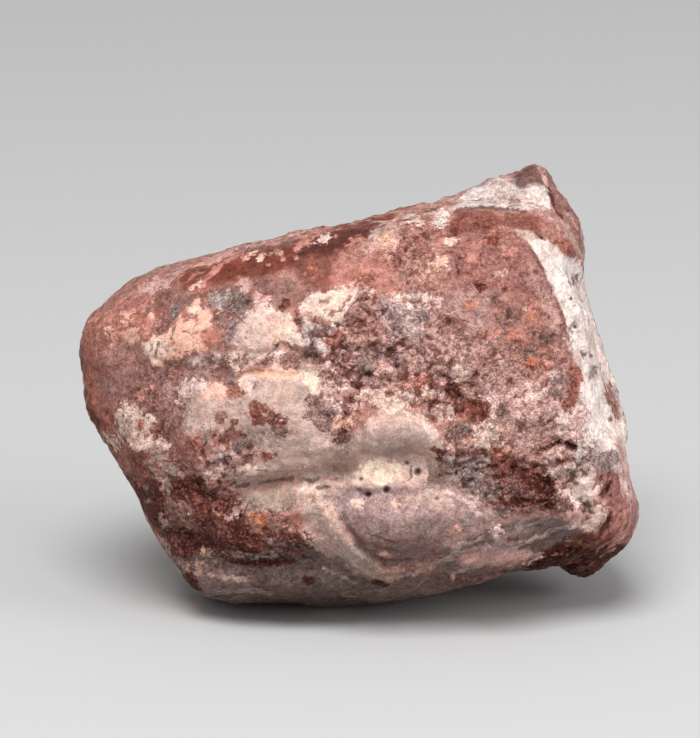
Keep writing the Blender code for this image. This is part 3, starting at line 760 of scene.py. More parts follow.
# How strong the grain of the colours is by zone: strength, how soft the zone's edge is in pixels, outline.
GRAINS = """
0.52 10 390,222 450,220 520,236 552,290 570,345 600,440 600,530 480,512 440,450 400,400 380,330
0.36 10 440,226 520,234 548,268 560,330 520,350 480,330 440,300
0.55 8 305,325 350,295 380,297 410,340 470,360 480,400 430,408 370,392 345,440 318,440 312,380
0.45 8 150,366 235,350 240,384 200,390 180,440 255,450 250,500 300,515 300,560 170,560 150,480 110,440
0.55 8 160,480 236,494 256,514 300,514 306,546 260,560 180,556 160,520
0.25 6 176,276 250,250 330,228 388,212 392,220 345,250 400,270 396,290 330,286 250,282 186,292
0.3 6 518,229 556,245 580,258 650,440 612,468 590,420 576,356 556,300
0.28 8 340,488 440,486 490,510 560,515 560,560 440,566 350,540
0.12 6 196,388 240,372 316,368 330,440 350,460 350,480 260,500 240,470 300,430 240,430 200,425
0.12 6 352,450 366,418 400,410 432,424 444,440 424,484 356,486
0.16 5 148,314 190,306 214,314 222,342 160,366 143,345
0.2 5 232,348 246,316 300,290 358,284 346,318 300,346
0.2 8 300,506 330,512 384,572 340,566 300,530
0.2 4 348,322 350,312 358,304 372,311 379,324 372,337 357,338
0.25 5 566,500 572,478 600,474 606,510 590,530 566,520
0.55 6 484,462 500,452 520,462 556,474 566,494 562,510 500,510 486,496 496,476
0.5 6 536,550 600,538 624,538 604,566 590,580 520,576
"""
GRAIN = 0.35

# Where the colours run in streaks: strength, how soft the zone's edge is in pixels, outline.
STREAKS = """
0.42 12 70,340 110,270 250,240 395,210 392,232 300,270 240,290 150,300 140,380 110,420 80,400
0.5 10 160,500 250,520 310,540 384,566 470,530 600,510 600,530 500,572 380,610 180,610
0.75 8 600,470 622,466 648,500 644,545 600,560 592,530
0.5 8 440,200 550,175 585,215 580,262 540,236 455,230
"""

# Where they run steeply: share, how soft the zone's edge is in pixels, outline.
STEEP = """
1 10 60,330 95,260 180,255 200,300 160,400 110,430 60,400
1 8 590,460 622,450 650,500 644,548 600,560 588,520
"""
STREAK_SLOPES = (14.0, 50.0)
STREAK_STRETCH = (0.24, 0.7, 1.0)

# Waves of the whole surface: length and depth. Knobs: size, and share of the zone's depth.
WAVES = ((7.0, 0.20), (3.2, 0.12))
KNOBS = ((2.7, 0.60), (1.4, 0.45))
KNOB_SPREAD = 0.55
CRAG_SHARE = 0.55
# Noises of the relief: size, seed and octaves. The swirl moves the knobs about, and has three seeds.
SWIRL_NOISE = (1.6, (21, 22, 23), 2)
CRAG_NOISE = (2.4, 8, 3)
GRIT_NOISE = (1.0, 7, 2)
# How deep a place in the small relief is, to be darkened as painted shade, and how high, to be lighter.
CREVICE_SHADE_DEPTHS = (0.02, 0.26)
HIGH_SPOT_HEIGHTS = (0.02, 0.22)

# On the other sides these change from place to place, between a low and a high value, by one noise.
HIDDEN_KNOBS = (0.02, 0.36)
HIDDEN_GRIT = (0.05, 0.13)
HIDDEN_GRAIN = (0.2, 0.7)
HIDDEN_ZONE_NOISE = (13.0, 3)

# The material's patterns sway: how many sways fit in a millimetre, and how far they reach.
WIDE_SWAY = (0.9, 1.3)
CLOSE_SWAY = (2.4, 0.5)
# The patterns, by how many fit in a millimetre.
BROAD, MIDDLE, FINE = (0.30, 0.85, 2.6)
FLAKES, GRIT = (1.5, 3.0)
WARMTH, SPOTS, VEINS, CRACKS, SPECKLE = (0.45, 0.7, 0.7, 1.5, 4.2)
SMEARS, STRIPES = (0.9, 2.2)

# The coats: name, how ragged the edge is, and the range of cover over which it appears.
COATS = (("crust", 2.7, (0.42, 0.60)), ("stain", 2.7, (0.42, 0.60)), ("speck", 1.8, (0.28, 0.82)))

# What a mark of the material does to the red, green and blue under it.
COOL = (0.93, 1.0, 1.02)
WARM = (1.09, 0.98, 0.93)
FLECK = (1.05, 0.86, 0.74)
PATCH = (0.58, 0.48, 0.48)
SMEAR = (1.0, 0.90, 0.84)
DARK_GRAIN = (0.36, 0.24, 0.25)
LIGHT_GRAIN = (1.0, 0.95, 0.95)
ORANGE_CHIP = (1.10, 0.84, 0.70)
PALE_CHIP = (1.0, 0.96, 0.96)
HOLE = (0.50, 0.42, 0.42)
VEIN = (0.42, 0.32, 0.30)
CRACK = (0.44, 0.33, 0.33)
DUST = (1.0, 0.93, 0.90)
DEEP_SHADE = (0.34, 0.22, 0.20)
SALT_COLOUR = (0.46, 0.27, 0.22, 1)

ROUGHNESS = (0.42, 0.72)
SPECULAR = 0.07
BUMP_DEPTH = 0.32


def smoothstep(value, low, high):
    share = np.clip((value - low) / (high - low), 0, 1)
    return share * share * (3 - 2 * share)


def read_rows(table):
    """The rows of a table: each one's names and numbers, and then its points."""
    for line in table.strip().splitlines():
        if line.startswith("#"):
            continue
        words = line.split()
        heads = [word for word in words if "," not in word]
        points = np.array([word.split(",") for word in words[len(heads):]], float)
        yield *(word if word[0].isalpha() else float(word) for word in heads), points


def camera_axes():
    """The camera's right, up and back directions, as rows."""
    tilt = math.radians(CAMERA_ELEVATION)
    up = (0, math.sin(tilt), math.cos(tilt))
    back = (0, -math.cos(tilt), math.sin(tilt))
    return np.array([(1, 0, 0), up, back])


def pixels_of(points):
    """Where the photograph shows these points."""
    right, up, back = ((points - AIM) @ camera_axes().T).T
    scale = PIXELS_PER_MM * CAMERA_DISTANCE / (CAMERA_DISTANCE - back)
    middle = (PHOTO_SIZE[0] / 2, PHOTO_SIZE[1] / 2)
    return np.stack([middle[0] + scale * right, middle[1] - scale * up], axis=1)


def read_vectors(items, name):
    flat = np.empty(len(items) * 3, np.float32)
    items.foreach_get(name, flat)
    return flat.reshape(-1, 3).astype(np.float64)


def settled(piece):
    """Applies the piece's modifiers."""
    graph = bpy.context.evaluated_depsgraph_get()
    old = piece.data
    piece.data = bpy.data.meshes.new_from_object(piece.evaluated_get(graph))
    piece.modifiers.clear()
    bpy.data.meshes.remove(old)


def smoothed(piece, rounds):
    ease = piece.modifiers.new("ease", "SMOOTH")
    ease.factor = 0.5
    ease.iterations = rounds
    settled(piece)


def copied_skin():
    """A copy of the solid's surface, as an even mesh, finer where the photograph shows it."""
    skin = bpy.data.objects.new("stone_skin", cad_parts["coprolite"].data.copy())
    bpy.context.scene.collection.objects.link(skin)
    weld = skin.modifiers.new("weld", "WELD")
    weld.merge_threshold = WELD * MM
    rounding = skin.modifiers.new("rounding", "SUBSURF")
    rounding.levels = rounding.render_levels = 2
    grid = skin.modifiers.new("grid", "REMESH")
    grid.mode = "VOXEL"
    grid.voxel_size = COARSE_CELL * MM
    settled(skin)
    smoothed(skin, 3)
    refine(skin.data, seen_from_camera(skin.data))
    smoothed(skin, 2)
    refine(skin.data, seen_from_camera(skin.data) & near_pits(skin.data))
    return skin


def seen_from_camera(mesh):
    return read_vectors(mesh.polygons, "normal") @ camera_axes()[2] > FRONT_FROM


def near_pits(mesh):
    at = pixels_of(read_vectors(mesh.polygons, "center") / MM)
    found = np.zeros(len(at), bool)
    for radius, _, places in read_rows(PITS):
        found |= np.hypot(*(at - places[0]).T) < radius + PIT_MARGIN
    return found


def refine(mesh, chosen):
    """Splits the chosen faces into four each."""
    work = bmesh.new()
    work.from_mesh(mesh)
    edges = {edge for face, wanted in zip(work.faces, chosen) if wanted for edge in face.edges}
    ordered = sorted(edges, key=lambda edge: edge.index)
    bmesh.ops.subdivide_edges(work, edges=ordered, cuts=1, use_grid_fill=True)
    bmesh.ops.triangulate(work, faces=[face for face in work.faces if len(face.verts) > 4])
    work.to_mesh(mesh)
    work.free()


def rounded_path(points, closed):
    """The same path through the same points, with curves in place of corners."""
    last = len(points) if closed else len(points) - 1
    if not closed:
        points = np.concatenate([points[:1], points, points[-1:]])
    found = []
    for i in range(last):
        if closed:
            a, b, c, d = (points[(i + k) % len(points)] for k in (-1, 0, 1, 2))
        else:
            a, b, c, d = points[i : i + 4]
        for t in (0, 0.25, 0.5, 0.75):
            bend = 2 * b + (c - a) * t + (2 * a - 5 * b + 4 * c - d) * t * t
            found.append((bend + (3 * b - a - 3 * c + d) * t ** 3) / 2)
    return np.array(found if closed else found + [points[-1]])


def distance_to(at, path):
    nearest = np.full(len(at), np.inf)
    for start, end in zip(path[:-1], path[1:]):
        along = end - start
        share = np.clip((at - start) @ along / max(along @ along, 1e-9), 0, 1)
        gap = at - start - share[:, None] * along
        nearest = np.minimum(nearest, np.einsum("ij,ij->i", gap, gap))
    return np.sqrt(nearest)


def inside(at, outline):
    """Whether each place is inside the closed outline."""
    odd = np.zeros(len(at), bool)
    for (x0, y0), (x1, y1) in zip(outline, np.roll(outline, -1, axis=0)):
        spans = (y0 > at[:, 1]) != (y1 > at[:, 1])
        if y0 != y1:
            odd ^= spans & (at[:, 0] < (x1 - x0) * (at[:, 1] - y0) / (y1 - y0) + x0)
    return odd


def depth_in(at, points, reach):
    """How far each place is inside an outline, in pixels: below zero outside, and -reach from there on."""
    outline = rounded_path(points, True)
    found = np.full(len(at), -float(reach))
    near = ((at > outline.min(axis=0) - reach) & (at < outline.max(axis=0) + reach)).all(axis=1)
    gap = distance_to(at[near], np.concatenate([outline, outline[:1]]))
    found[near] = np.where(inside(at[near], outline), gap, -gap)
    return np.maximum(found, -reach)


def zone(at, points, soft):
    """1 inside the outline and 0 outside, with a smooth edge of that many pixels to either side."""
    return smoothstep(depth_in(at, points, soft), -soft, soft)


def stroke(at, half_width, points):
    """1 on the path, falling smoothly to 0 at the half width."""
    path = rounded_path(points, False)
    found = np.zeros(len(at))
    near = ((at > path.min(axis=0) - half_width) & (at < path.max(axis=0) + half_width)).all(axis=1)
    found[near] = 1 - smoothstep(distance_to(at[near], path), 0, half_width)
    return found


def noise_at(points, size, seed, octaves=1):
    """Smooth noise from about -1 to 1, of that wavelength. Each octave after the first is half the size."""
    dice = np.random.default_rng(seed)
    order = dice.permutation(256)
    slopes = dice.normal(size=(256, 3))
    slopes /= np.linalg.norm(slopes, axis=1)[:, None]
    found = np.zeros(len(points))
    for octave in range(octaves):
        places = points / size * 2 ** octave + 31.7 * octave
        corner = np.floor(places).astype(int)
        offset = places - corner
        fade = offset ** 3 * (offset * (offset * 6 - 15) + 10)
        for step in np.ndindex(2, 2, 2):
            i, j, k = (corner + step).T & 255
            slope = slopes[order[(order[(order[i] + j) & 255] + k) & 255]]
            weight = np.where(step, fade, 1 - fade).prod(axis=1)
            found += weight * np.einsum("ij,ij->i", offset - step, slope) * 1.6 / 2 ** octave
    return found


def wander(points, size, seeds, octaves):
    """A noise for each seed, side by side."""
    return np.stack([noise_at(points, size, seed, octaves) for seed in seeds], axis=1)


def cells_at(points, size, seed):
    """Distance to the nearest and the next cell centre, in cells."""
    places = points / size + (seed * 3.7, seed * 9.1, seed * 6.3)
    found = np.array([noise.voronoi(place)[0][:2] for place in places.tolist()])
    return found[:, 0], found[:, 1]


class Surface:
    """The stone's points, with what each one needs to know."""

    def __init__(self, mesh):
        self.points = read_vectors(mesh.vertices, "co") / MM
        self.normals = read_vectors(mesh.vertices, "normal")
        self.at = pixels_of(self.points)
        self.shown = smoothstep(self.normals @ camera_axes()[2], *SHOWN_FADES)


def zone_values(surface):
    """Depth of knobs and grit at each point."""
    where = np.clip(0.5 + 0.8 * noise_at(surface.points, *HIDDEN_ZONE_NOISE), 0, 1)
    hidden = [low + (high - low) * where for low, high in (HIDDEN_KNOBS, HIDDEN_GRIT)]
    knobs, grit = (np.full(len(where), depth) for depth in PLAIN_RELIEF)
    for knob_depth, grit_depth, soft, outline in read_rows(ZONES):
        share = zone(surface.at, outline, soft)
        knobs += (knob_depth - knobs) * share
        grit += (grit_depth - grit) * share
    shown = surface.shown
    return [value * shown + other * (1 - shown) for value, other in zip((knobs, grit), hidden)]


def placed_relief(surface):
    """Height of the forms, plaques and pits that the photograph shows."""
    at = surface.at + RELIEF_REACH * wander(surface.points, *RELIEF_WANDER)
    height = np.zeros(len(at))
    for lift, half_width, path in read_rows(FORMS):
        height += lift * stroke(at, half_width, path)
    for lift, soft, outline in read_rows(PLAQUES):
        height += lift * smoothstep(depth_in(at, outline, 3 * soft), -soft, soft)
    for radius, depth, places in read_rows(PITS):
        gap = np.hypot(*(surface.at - places[0]).T)
        height -= depth * (1 - smoothstep(gap, 0.45 * radius, radius))
    return height * surface.shown


def carve(mesh):
    """Gives the surface its small relief, keeps the resting face flat, and finds the hollows that get painted
    shade and the raised spots that are made lighter.
    """
    surface = Surface(mesh)
    knobs, grit = zone_values(surface)
    height = placed_relief(surface)
    for seed, (length, depth) in enumerate(WAVES):
        height += depth * noise_at(surface.points, length, seed)
    swirl = wander(surface.points, *SWIRL_NOISE)
    small = grit * noise_at(surface.points, *GRIT_NOISE)
    small += CRAG_SHARE * knobs * (0.35 - 1.6 * np.abs(noise_at(surface.points, *CRAG_NOISE)))
    for size, share in KNOBS:
        near, far = cells_at(surface.points + KNOB_SPREAD * swirl, size, size)
        small += share * knobs * (1.1 * smoothstep(far - near, 0, 0.45) - 0.8 * near)
    height += small
    resting = smoothstep(surface.points[:, 2], *REST_FADE)
    points = surface.points + surface.normals * (height * resting)[:, None]
    points[:, 2] = np.maximum(points[:, 2], 0)
    mesh.vertices.foreach_set("co", (points * MM).astype(np.float32).ravel())
    mesh.update()
    # Painted shade for the hollows of the small relief, and the raised spots to lighten.
    return smoothstep(-small, *CREVICE_SHADE_DEPTHS), smoothstep(small, *HIGH_SPOT_HEIGHTS)


def tint_over(tint, tone, share):
    """Moves the colours towards a tone, by that share at each point."""
    tint += (np.array(TONES[tone]) - tint) * share[:, None]


class Layer:
    """A coat of colour: its tint at each point, and from 0 to 1 how sure it is to cover the point."""

    def __init__(self, name, count):
        self.name = name
        self.tint = np.zeros((count, 3))
        self.cover = np.zeros(count)

    def paint(self, tone, cover, spread):
        tint_over(self.tint, tone, spread)
        self.cover = np.maximum(self.cover, cover)

    def blend_hidden(self, tint, cover, shown):
        self.tint = tint + (self.tint - tint) * shown[:, None]
        self.cover = cover + (self.cover - cover) * shown

    def store(self, mesh):
        store_colour(mesh, self.name + "_tint", self.tint)
        store_value(mesh, self.name, self.cover)


def store_value(mesh, name, values):
    stored = mesh.attributes.new(name, "FLOAT", "POINT")
    stored.data.foreach_set("value", values.astype(np.float32))


def store_colour(mesh, name, colours):
    rows = np.concatenate([colours, np.ones((len(colours), 1))], axis=1)
    stored = mesh.attributes.new(name, "FLOAT_COLOR", "POINT")
    stored.data.foreach_set("color", rows.astype(np.float32).ravel())


def noise_mix(surface, tones, size, seed):
    """Tones that run into each other in their order, by smooth noise."""
    steps = np.clip(0.5 + 0.75 * noise_at(surface.points, size, seed, 3), 0, 1) * (len(tones) - 1)
    low = np.minimum(steps.astype(int), len(tones) - 2)
    colours = np.array([TONES[tone] for tone in tones])
    share = (steps - low)[:, None]
    return colours[low] * (1 - share) + colours[low + 1] * share


def under_heel(surface):
    """1 where the dark red of the heel, partly painted shade of the hollow under the lobe, goes on
    underneath, falling to 0 around it.
    """
    right, _, height = surface.points.T
    return smoothstep(right, *HEEL_FROM) * smoothstep(height, *HEEL_HEIGHTS)


def hidden_ground(surface):
    """The ground's colour on the other sides: mixed tones, a pale break on the right, painted shade on the
    underside and the heel's dark red.
    """
    tint = noise_mix(surface, *HIDDEN_GROUND)
    right, _, up = surface.normals.T
    broken = smoothstep(right + 0.06 * noise_at(surface.points, *BREAK_NOISE), *BREAK_FACING)
    broken *= smoothstep(surface.points[:, 0], *BREAK_FROM)
    tint_over(tint, "ivory", broken * 0.9)
    # Painted shade where the underside faces down.
    tint_over(tint, "dusk", smoothstep(-up, *UNDERSIDE_SHADE_FACING) * 0.75)
    # The heel's dark red underneath: partly its colour, partly painted shade.
    tint_over(tint, "bark", under_heel(surface) * 0.9)
    return tint


def ground_tint(surface, at):
    """The ground's colour: placed on the shown side, and from noise on the others."""
    tint = np.zeros((len(at), 3)) + TONES["flesh"]
    for tone, soft, outline in read_rows(GROUNDS):
        tint_over(tint, tone, zone(at, outline, soft))
    hidden = hidden_ground(surface)
    return hidden + (tint - hidden) * surface.shown[:, None]


def painted(name, at, table):
    """A layer with a crisp patch for each row. The tint reaches past the patch, so that its edge is clean."""
    layer = Layer(name, len(at))
    for tone, outline in read_rows(table):
        depth = depth_in(at, outline, PATCH_SPREAD)
        cover = np.clip(0.5 + 0.5 * depth / PATCH_SOFT, 0, FULL_COVER)
        layer.paint(tone, cover, smoothstep(depth, -PATCH_SPREAD, -0.3 * PATCH_SPREAD))
    return layer


def marked(surface, at):
    """The layer of thin lines and small dots."""
    layer = Layer("speck", len(at))
    for tone, half_width, path in read_rows(LINES):
        value = LINE_COVER * stroke(at, 2 * half_width, path)
        layer.paint(tone, value, smoothstep(value, 0, 0.2))
    for tone, radius, places in read_rows(DOTS):
        for spot in places:
            gap = np.hypot(*(surface.at - spot).T)
            spread = 1 - smoothstep(gap, 1.2 * radius, 2.2 * radius)
            layer.paint(tone, np.clip(1 - 0.5 * gap / radius, 0, 1), spread)
    layer.cover *= surface.shown
    return layer


def strengths(surface, table, base):
    """A value by zone: base outside the zones, and each row's strength inside its outline."""
    found = np.full(len(surface.at), float(base))
    for strength, soft, outline in read_rows(table):
        found += (strength - found) * zone(surface.at, outline, soft)
    return found


def hidden_cover(surface, size, seed, level):
    return smoothstep(noise_at(surface.points, size, seed, 3), level - 0.3, level + 0.3)


def colour(mesh, crevice_shade, high_spots):
    """Stores the stone's coats of colour on the mesh."""
    surface = Surface(mesh)
    shown = surface.shown
    drift = wander(surface.points, *MARK_WANDER)
    at = surface.at + MARK_REACH * drift
    store_colour(mesh, "ground_tint", ground_tint(surface, surface.at + GROUND_REACH * drift))
    crust = painted("crust", at, CRUSTS)
    pale_cover = hidden_cover(surface, *CRUST_COVER) * (1 - under_heel(surface))
    crust.blend_hidden(noise_mix(surface, *HIDDEN_CRUST), pale_cover, shown)
    crust.store(mesh)
    stain = painted("stain", at, STAINS)
    stain.blend_hidden(noise_mix(surface, *HIDDEN_STAIN), hidden_cover(surface, *STAIN_COVER), shown)
    stain.store(mesh)
    marked(surface, at).store(mesh)
    grain = strengths(surface, GRAINS, GRAIN)
    hidden = np.clip(0.45 + 0.5 * noise_at(surface.points, *HIDDEN_ZONE_NOISE), *HIDDEN_GRAIN)
    store_value(mesh, "grain", hidden + (grain - hidden) * shown)
    streaks = HIDDEN_STREAKS + (strengths(surface, STREAKS, 0.0) - HIDDEN_STREAKS) * shown
    store_value(mesh, "streaks", streaks)
    store_value(mesh, "steep", strengths(surface, STEEP, 0.0) * shown)
    # Painted shade: how deep each point lies in the small relief.
    store_value(mesh, "crevice_shade", crevice_shade)
    store_value(mesh, "high_spots", high_spots)


class Nodes:
    """Short calls for the nodes of one material."""

    def __init__(self, name):
        self.material = bpy.data.materials.new(name)
        self.material.use_nodes = True
        self.tree = self.material.node_tree
        self.shader = self.tree.nodes["Principled BSDF"]

    def add(self, kind, settings=(), **inputs):
        """A node with these settings and inputs. An input goes by its name, or by i and its number."""
        node = self.tree.nodes.new("ShaderNode" + kind)
        for key, value in dict(settings).items():
            setattr(node, key, value)
        for key, value in inputs.items():
            numbered = key[0] == "i" and key[1:].isdigit()
            self.feed(node.inputs[int(key[1:]) if numbered else key.replace("_", " ")], value)
        return node

    def feed(self, socket, value):
        if isinstance(value, bpy.types.NodeSocket):
            self.tree.links.new(value, socket)
        else:
            socket.default_value = value

    def value_of(self, name):
        return self.add("Attribute", {"attribute_name": name}).outputs["Fac"]

    def colour_of(self, name):
        return self.add("Attribute", {"attribute_name": name}).outputs["Color"]

    def math(self, operation, *values):
        named = {f"i{index}": value for index, value in enumerate(values)}
        return self.add("Math", {"operation": operation}, **named).outputs[0]

    def product(self, first, second):
        return self.math("MULTIPLY", first, second)

    def higher(self, first, second):
        return self.math("MAXIMUM", first, second)

    def scaled(self, value, times, added):
        return self.math("MULTIPLY_ADD", value, times, added)

    def vector(self, operation, *values, **inputs):
        named = {f"i{index}": value for index, value in enumerate(values)}
        return self.add("VectorMath", {"operation": operation}, **named, **inputs).outputs[0]

    def ramp(self, value, low, high, to_low=0.0, to_high=1.0):
        """From to_low to to_high, as the value goes from low to high, smoothly and no further."""
        ends = {"From_Min": low, "From_Max": high, "To_Min": to_low, "To_Max": to_high}
        node = self.add("MapRange", {"interpolation_type": "SMOOTHSTEP"}, Value=value, **ends)
        return node.outputs["Result"]

    def near_half(self, value, wide, narrow):
        """1 where the value is within narrow of a half, falling to 0 at wide."""
        return self.ramp(self.math("ABSOLUTE", self.math("SUBTRACT", value, 0.5)), wide, narrow)

    def mix(self, share, first, second, blend="MIX"):
        node = self.add("Mix", {"data_type": "RGBA", "blend_type": blend, "clamp_factor": True})
        self.feed(node.inputs[0], share)
        self.feed(node.inputs[6], first)
        self.feed(node.inputs[7], second)
        return node.outputs[2]

    def dyed(self, colour, dye, share=1.0):
        """The colour with its red, green and blue multiplied by the dye's."""
        return self.mix(share, colour, (*dye, 1), "MULTIPLY")

    def lifted(self, colour, times, dye):
        """The colour, lighter by that many times, but never over 1, and then dyed."""
        more = self.vector("SCALE", colour, Scale=times)
        less = self.vector("MULTIPLY_ADD", colour, (times - 1,) * 3, (1, 1, 1))
        return self.dyed(self.vector("DIVIDE", more, less), dye)

    def noise(self, where, per_mm, detail=2.0, roughness=0.55):
        node = self.add("TexNoise", Vector=where, Scale=per_mm, Detail=detail, Roughness=roughness)
        return node.outputs["Fac"]

    def warped(self, where, per_mm, reach):
        """The place, moved about by up to that many millimetres."""
        sway = self.add("TexNoise", Vector=where, Scale=per_mm, Detail=2.0).outputs["Color"]
        return self.vector("MULTIPLY_ADD", sway, (reach, reach, reach), where)

    def cells(self, where, per_mm):
        """Two random numbers for each cell of a grain pattern, and the distance from the cell's centre."""
        node = self.add("TexVoronoi", Vector=where, Scale=per_mm)
        parts = self.add("SeparateColor", i0=node.outputs["Color"]).outputs
        return parts[0], parts[1], node.outputs["Distance"]

    def streaked(self, where, per_mm, steep):
        """Smooth noise drawn out along a shallow slope, or along a steep one where steep is 1."""
        found = []
        for slope in STREAK_SLOPES:
            angle = math.radians(slope)
            turned = self.add("VectorRotate", {"rotation_type": "Y_AXIS"}, Vector=where, Angle=angle)
            drawn = self.vector("MULTIPLY", turned.outputs[0], STREAK_STRETCH)
            found.append(self.noise(drawn, per_mm, 4.0, 0.64))
        return self.mix(steep, *found)


class Stone(Nodes):
    """The stone's material. Each step changes its colour, from the coats to the dark gaps."""

    def __init__(self):
        super().__init__("stone")
        place_m = self.add("TexCoord").outputs["Object"]
        self.straight = self.vector("SCALE", place_m, Scale=1 / MM)
        self.where = self.warped(self.straight, *WIDE_SWAY)
        self.close = self.warped(self.straight, *CLOSE_SWAY)
        self.broad = self.noise(self.where, BROAD, 3.0)
        self.middle = self.noise(self.where, MIDDLE, 5.0, 0.68)
        self.fine = self.noise(self.close, FINE, 4.0, 0.70)
        self.flake, self.flake_hue, self.flake_rim = self.cells(self.close, FLAKES)
        self.grit, self.grit_hue, self.grit_rim = self.cells(self.close, GRIT)
        ragged = self.scaled(self.flake, 0.16, self.scaled(self.fine, 0.40, -0.53))
        self.ragged = self.scaled(self.middle, 0.50, ragged)
        self.colour = self.colour_of("ground_tint")
        self.grain = self.value_of("grain")
        self.crevice_shade = self.value_of("crevice_shade")
        self.streaks = self.value_of("streaks")
        self.steep = self.value_of("steep")

    def lay_coats(self):
        """Crust, stains and thin marks, each with a ragged edge. Stains have a stronger grain."""
        for name, raggedness, appears in COATS:
            edge = self.scaled(self.ragged, raggedness, self.value_of(name))
            soft = self.product(self.ramp(edge, 0.25, 0.60), 0.25)
            share = self.scaled(self.ramp(edge, *appears), 0.75, soft)
            self.colour = self.mix(share, self.colour, self.colour_of(name + "_tint"))
            if name == "stain":
                self.grain = self.higher(self.grain, self.product(share, 0.5))
        self.coarse = self.ramp(self.grain, 0.25, 0.60)

    def vary(self):
        """Warm and cool places, pale flecks and dark patches."""
        warm = self.ramp(self.scaled(self.grit, 0.14, self.noise(self.where, WARMTH, 5.0, 0.7)), 0.50, 0.64)
        varied = self.mix(warm, self.dyed(self.colour, COOL), self.dyed(self.colour, WARM))
        self.colour = self.mix(0.6, self.colour, varied)
        noise_node = self.add("TexNoise", Vector=self.where, Scale=SPOTS, Detail=4.0, Roughness=0.70)
        spots = self.add("SeparateColor", i0=noise_node.outputs["Color"]).outputs
        fleck = self.product(self.ramp(spots[0], 0.56, 0.63), self.ramp(self.grain, 0.25, 0.60, 0.0, 0.6))
        self.colour = self.mix(fleck, self.colour, self.lifted(self.colour, 1.9, FLECK))
        patch = self.product(self.ramp(spots[1], 0.54, 0.62), self.ramp(self.grain, 0.15, 0.50, 0.0, 0.7))
        self.colour = self.dyed(self.colour, PATCH, patch)

    def smear(self):
        """Pale streaks."""
        smear = self.ramp(self.streaked(self.where, SMEARS, self.steep), 0.51, 0.64)
        smear = self.product(smear, self.product(self.streaks, 0.55))
        self.colour = self.mix(smear, self.colour, self.lifted(self.colour, 2.0, SMEAR))

    def add_grain(self):
        """Light and dark, by clumps where the grain is weak, by grains where it is strong, or by stripes."""
        clumps = self.ramp(self.middle, 0.36, 0.64)
        grains = self.scaled(self.flake, 0.32, self.product(self.grit, 0.58))
        grains = self.ramp(self.scaled(self.fine, 0.6, grains), 0.43, 1.07)
        # Lighter on the raised spots of the small relief.
        pattern = self.scaled(self.value_of("high_spots"), 0.24, self.mix(self.grain, clumps, grains))
        # Darker in the hollows of the small relief: painted shade.
        pattern = self.scaled(self.crevice_shade, -0.22, pattern)
        stripes = self.ramp(self.streaked(self.where, STRIPES, self.steep), 0.40, 0.60)
        pattern = self.mix(self.product(self.streaks, 0.75), pattern, stripes)
        strength = self.higher(self.scaled(self.grain, 0.75, 0.18), self.product(self.streaks, 0.62))
        light = self.lifted(self.colour, 2.2, LIGHT_GRAIN)
        grained = self.mix(pattern, self.dyed(self.colour, DARK_GRAIN), light)
        self.colour = self.mix(strength, self.colour, grained)

    def chip(self):
        """Bright chips and small holes where the grain is coarse."""
        chip = self.higher(self.ramp(self.flake, 0.80, 0.84), self.ramp(self.grit, 0.84, 0.88))
        hue = self.ramp(self.math("ADD", self.flake_hue, self.grit_hue), 0.95, 1.05)
        orange = self.lifted(self.colour, 2.0, ORANGE_CHIP)
        pale = self.lifted(self.colour, 2.3, PALE_CHIP)
        share = self.product(chip, self.product(self.coarse, 0.5))
        self.colour = self.mix(share, self.colour, self.mix(hue, orange, pale))
        hole = self.product(self.ramp(self.flake, 0.15, 0.11), self.product(self.coarse, 0.7))
        self.colour = self.dyed(self.colour, HOLE, hole)

    def speckle(self):
        """The finest light and dark, and a few grains of salt-like pink."""
        tiny = self.noise(self.straight, SPECKLE, 3.0, 0.70)
        calm = self.ramp(tiny, 0.34, 0.66, 0.82, 1.16)
        tiny = self.mix(self.coarse, calm, self.ramp(tiny, 0.35, 0.65, 0.62, 1.35))
        self.colour = self.mix(1.0, self.colour, tiny, "MULTIPLY")
        salt = self.ramp(self.scaled(self.fine, 0.8, self.grit), 1.05, 1.25)
        salt = self.product(salt, self.ramp(self.grain, 0.30, 1.10))
        self.colour = self.mix(salt, self.colour, SALT_COLOUR)

    def open_gaps(self):
        """Dark veins, and cracks and holes between the flakes."""
        vein = self.near_half(self.noise(self.where, VEINS, 4.0, 0.65), 0.022, 0.004)
        gaps = self.product(vein, self.ramp(self.broad, 0.42, 0.58, 0.1, 0.8))
        gaps = self.product(gaps, self.scaled(self.grain, 1.0, 0.25))
        self.colour = self.dyed(self.colour, VEIN, gaps)
        crack = self.near_half(self.noise(self.close, CRACKS, 3.0, 0.6), 0.030, 0.006)
        crack = self.product(crack, self.ramp(self.middle, 0.53, 0.44))
        self.holes = self.higher(crack, self.ramp(self.flake_rim, 0.58, 0.80))
        self.colour = self.dyed(self.colour, CRACK, self.product(self.holes, self.grain))

    def shade(self):
        """Broad warm dust, and painted shade in the deep places."""
        self.colour = self.dyed(self.colour, DUST, self.ramp(self.broad, 0.35, 0.65, 0.0, 0.35))
        # Painted shade, darkest in the hollows of the small relief.
        deep = self.ramp(self.scaled(self.ragged, 1.5, self.crevice_shade), 0.25, 0.75)
        self.colour = self.dyed(self.colour, DEEP_SHADE, self.product(deep, 0.8))

    def finish(self):
        """Hands the colour to the shader, with a dull gloss and the finest relief."""
        self.feed(self.shader.inputs["Base Color"], self.colour)
        self.feed(self.shader.inputs["Roughness"], self.ramp(self.fine, 0.35, 0.65, *ROUGHNESS))
        self.shader.inputs["Specular IOR Level"].default_value = SPECULAR
        height = self.scaled(self.middle, 0.8, self.product(self.fine, 0.9))
        for pattern, lift in ((self.flake_rim, -0.16), (self.grit_rim, -0.16), (self.holes, -0.3)):
            height = self.scaled(pattern, lift, height)
        relief = self.ramp(self.grain, 0.10, 0.50, 0.55, 1.0)
        bump = self.add("Bump", Strength=relief, Distance=BUMP_DEPTH * MM, Height=height)
        self.feed(self.shader.inputs["Normal"], bump.outputs["Normal"])


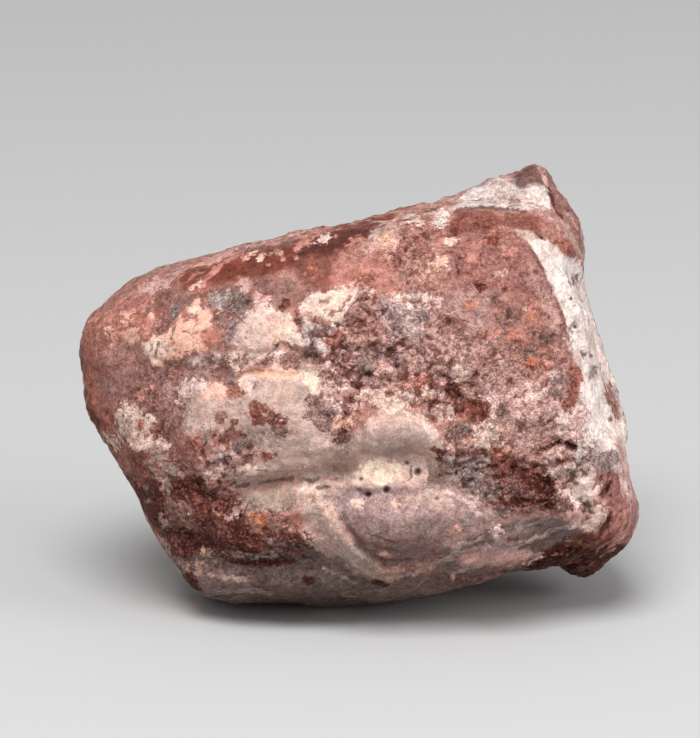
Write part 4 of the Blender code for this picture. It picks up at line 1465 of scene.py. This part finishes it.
def stone_material():
    """Coats of colour with ragged edges, a crystalline grain in them, dark gaps and a dull gloss."""
    stone = Stone()
    stone.lay_coats()
    stone.vary()
    stone.smear()
    stone.add_grain()
    stone.chip()
    stone.speckle()
    stone.open_gaps()
    stone.shade()
    stone.finish()
    return stone.material


def add_camera():
    data = bpy.data.cameras.new("camera")
    camera = bpy.data.objects.new("camera", data)
    bpy.context.scene.collection.objects.link(camera)
    width = PHOTO_SIZE[1] / PIXELS_PER_MM
    data.sensor_width = SENSOR
    data.lens = SENSOR * CAMERA_DISTANCE / width
    right, up, back = (Vector(axis) for axis in camera_axes())
    turned = Matrix((right, up, back)).transposed()
    where = Vector(AIM) + back * CAMERA_DISTANCE
    camera.matrix_world = Matrix.Translation(where * MM) @ turned.to_4x4()
    bpy.context.scene.camera = camera


def add_lamp(name, where, watts):
    data = bpy.data.lights.new(name, "AREA")
    data.shape = "DISK"
    data.size = LAMP_SIZE
    data.energy = watts
    lamp = bpy.data.objects.new(name, data)
    bpy.context.scene.collection.objects.link(lamp)
    lamp.location = where
    lamp.rotation_mode = "QUATERNION"
    lamp.rotation_quaternion = (Vector(LAMP_AIM) - lamp.location).to_track_quat("-Z", "Y")


def add_floor():
    bpy.ops.mesh.primitive_plane_add(size=FLOOR_SIZE, location=(0, 0, 0))
    floor = bpy.context.object
    floor.name = "floor"
    material = bpy.data.materials.new("floor")
    material.use_nodes = True
    shader = material.node_tree.nodes["Principled BSDF"]
    shader.inputs["Base Color"].default_value = FLOOR_COLOUR
    shader.inputs["Roughness"].default_value = FLOOR_ROUGHNESS
    floor.data.materials.append(material)


def add_surroundings():
    world = bpy.data.worlds.new("studio")
    world.use_nodes = True
    world.node_tree.nodes["Background"].inputs["Color"].default_value = (1, 1, 1, 1)
    world.node_tree.nodes["Background"].inputs["Strength"].default_value = EVEN_LIGHT
    bpy.context.scene.world = world
    for lamp in LAMPS:
        add_lamp(*lamp)
    add_floor()
    bpy.context.scene.view_settings.view_transform = "Standard"


add_camera()
add_surroundings()
stone = copied_skin()
colour(stone.data, *carve(stone.data))
stone.data.shade_smooth()
stone.data.materials.clear()
stone.data.materials.append(stone_material())
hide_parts("coprolite")
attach(stone, "root")
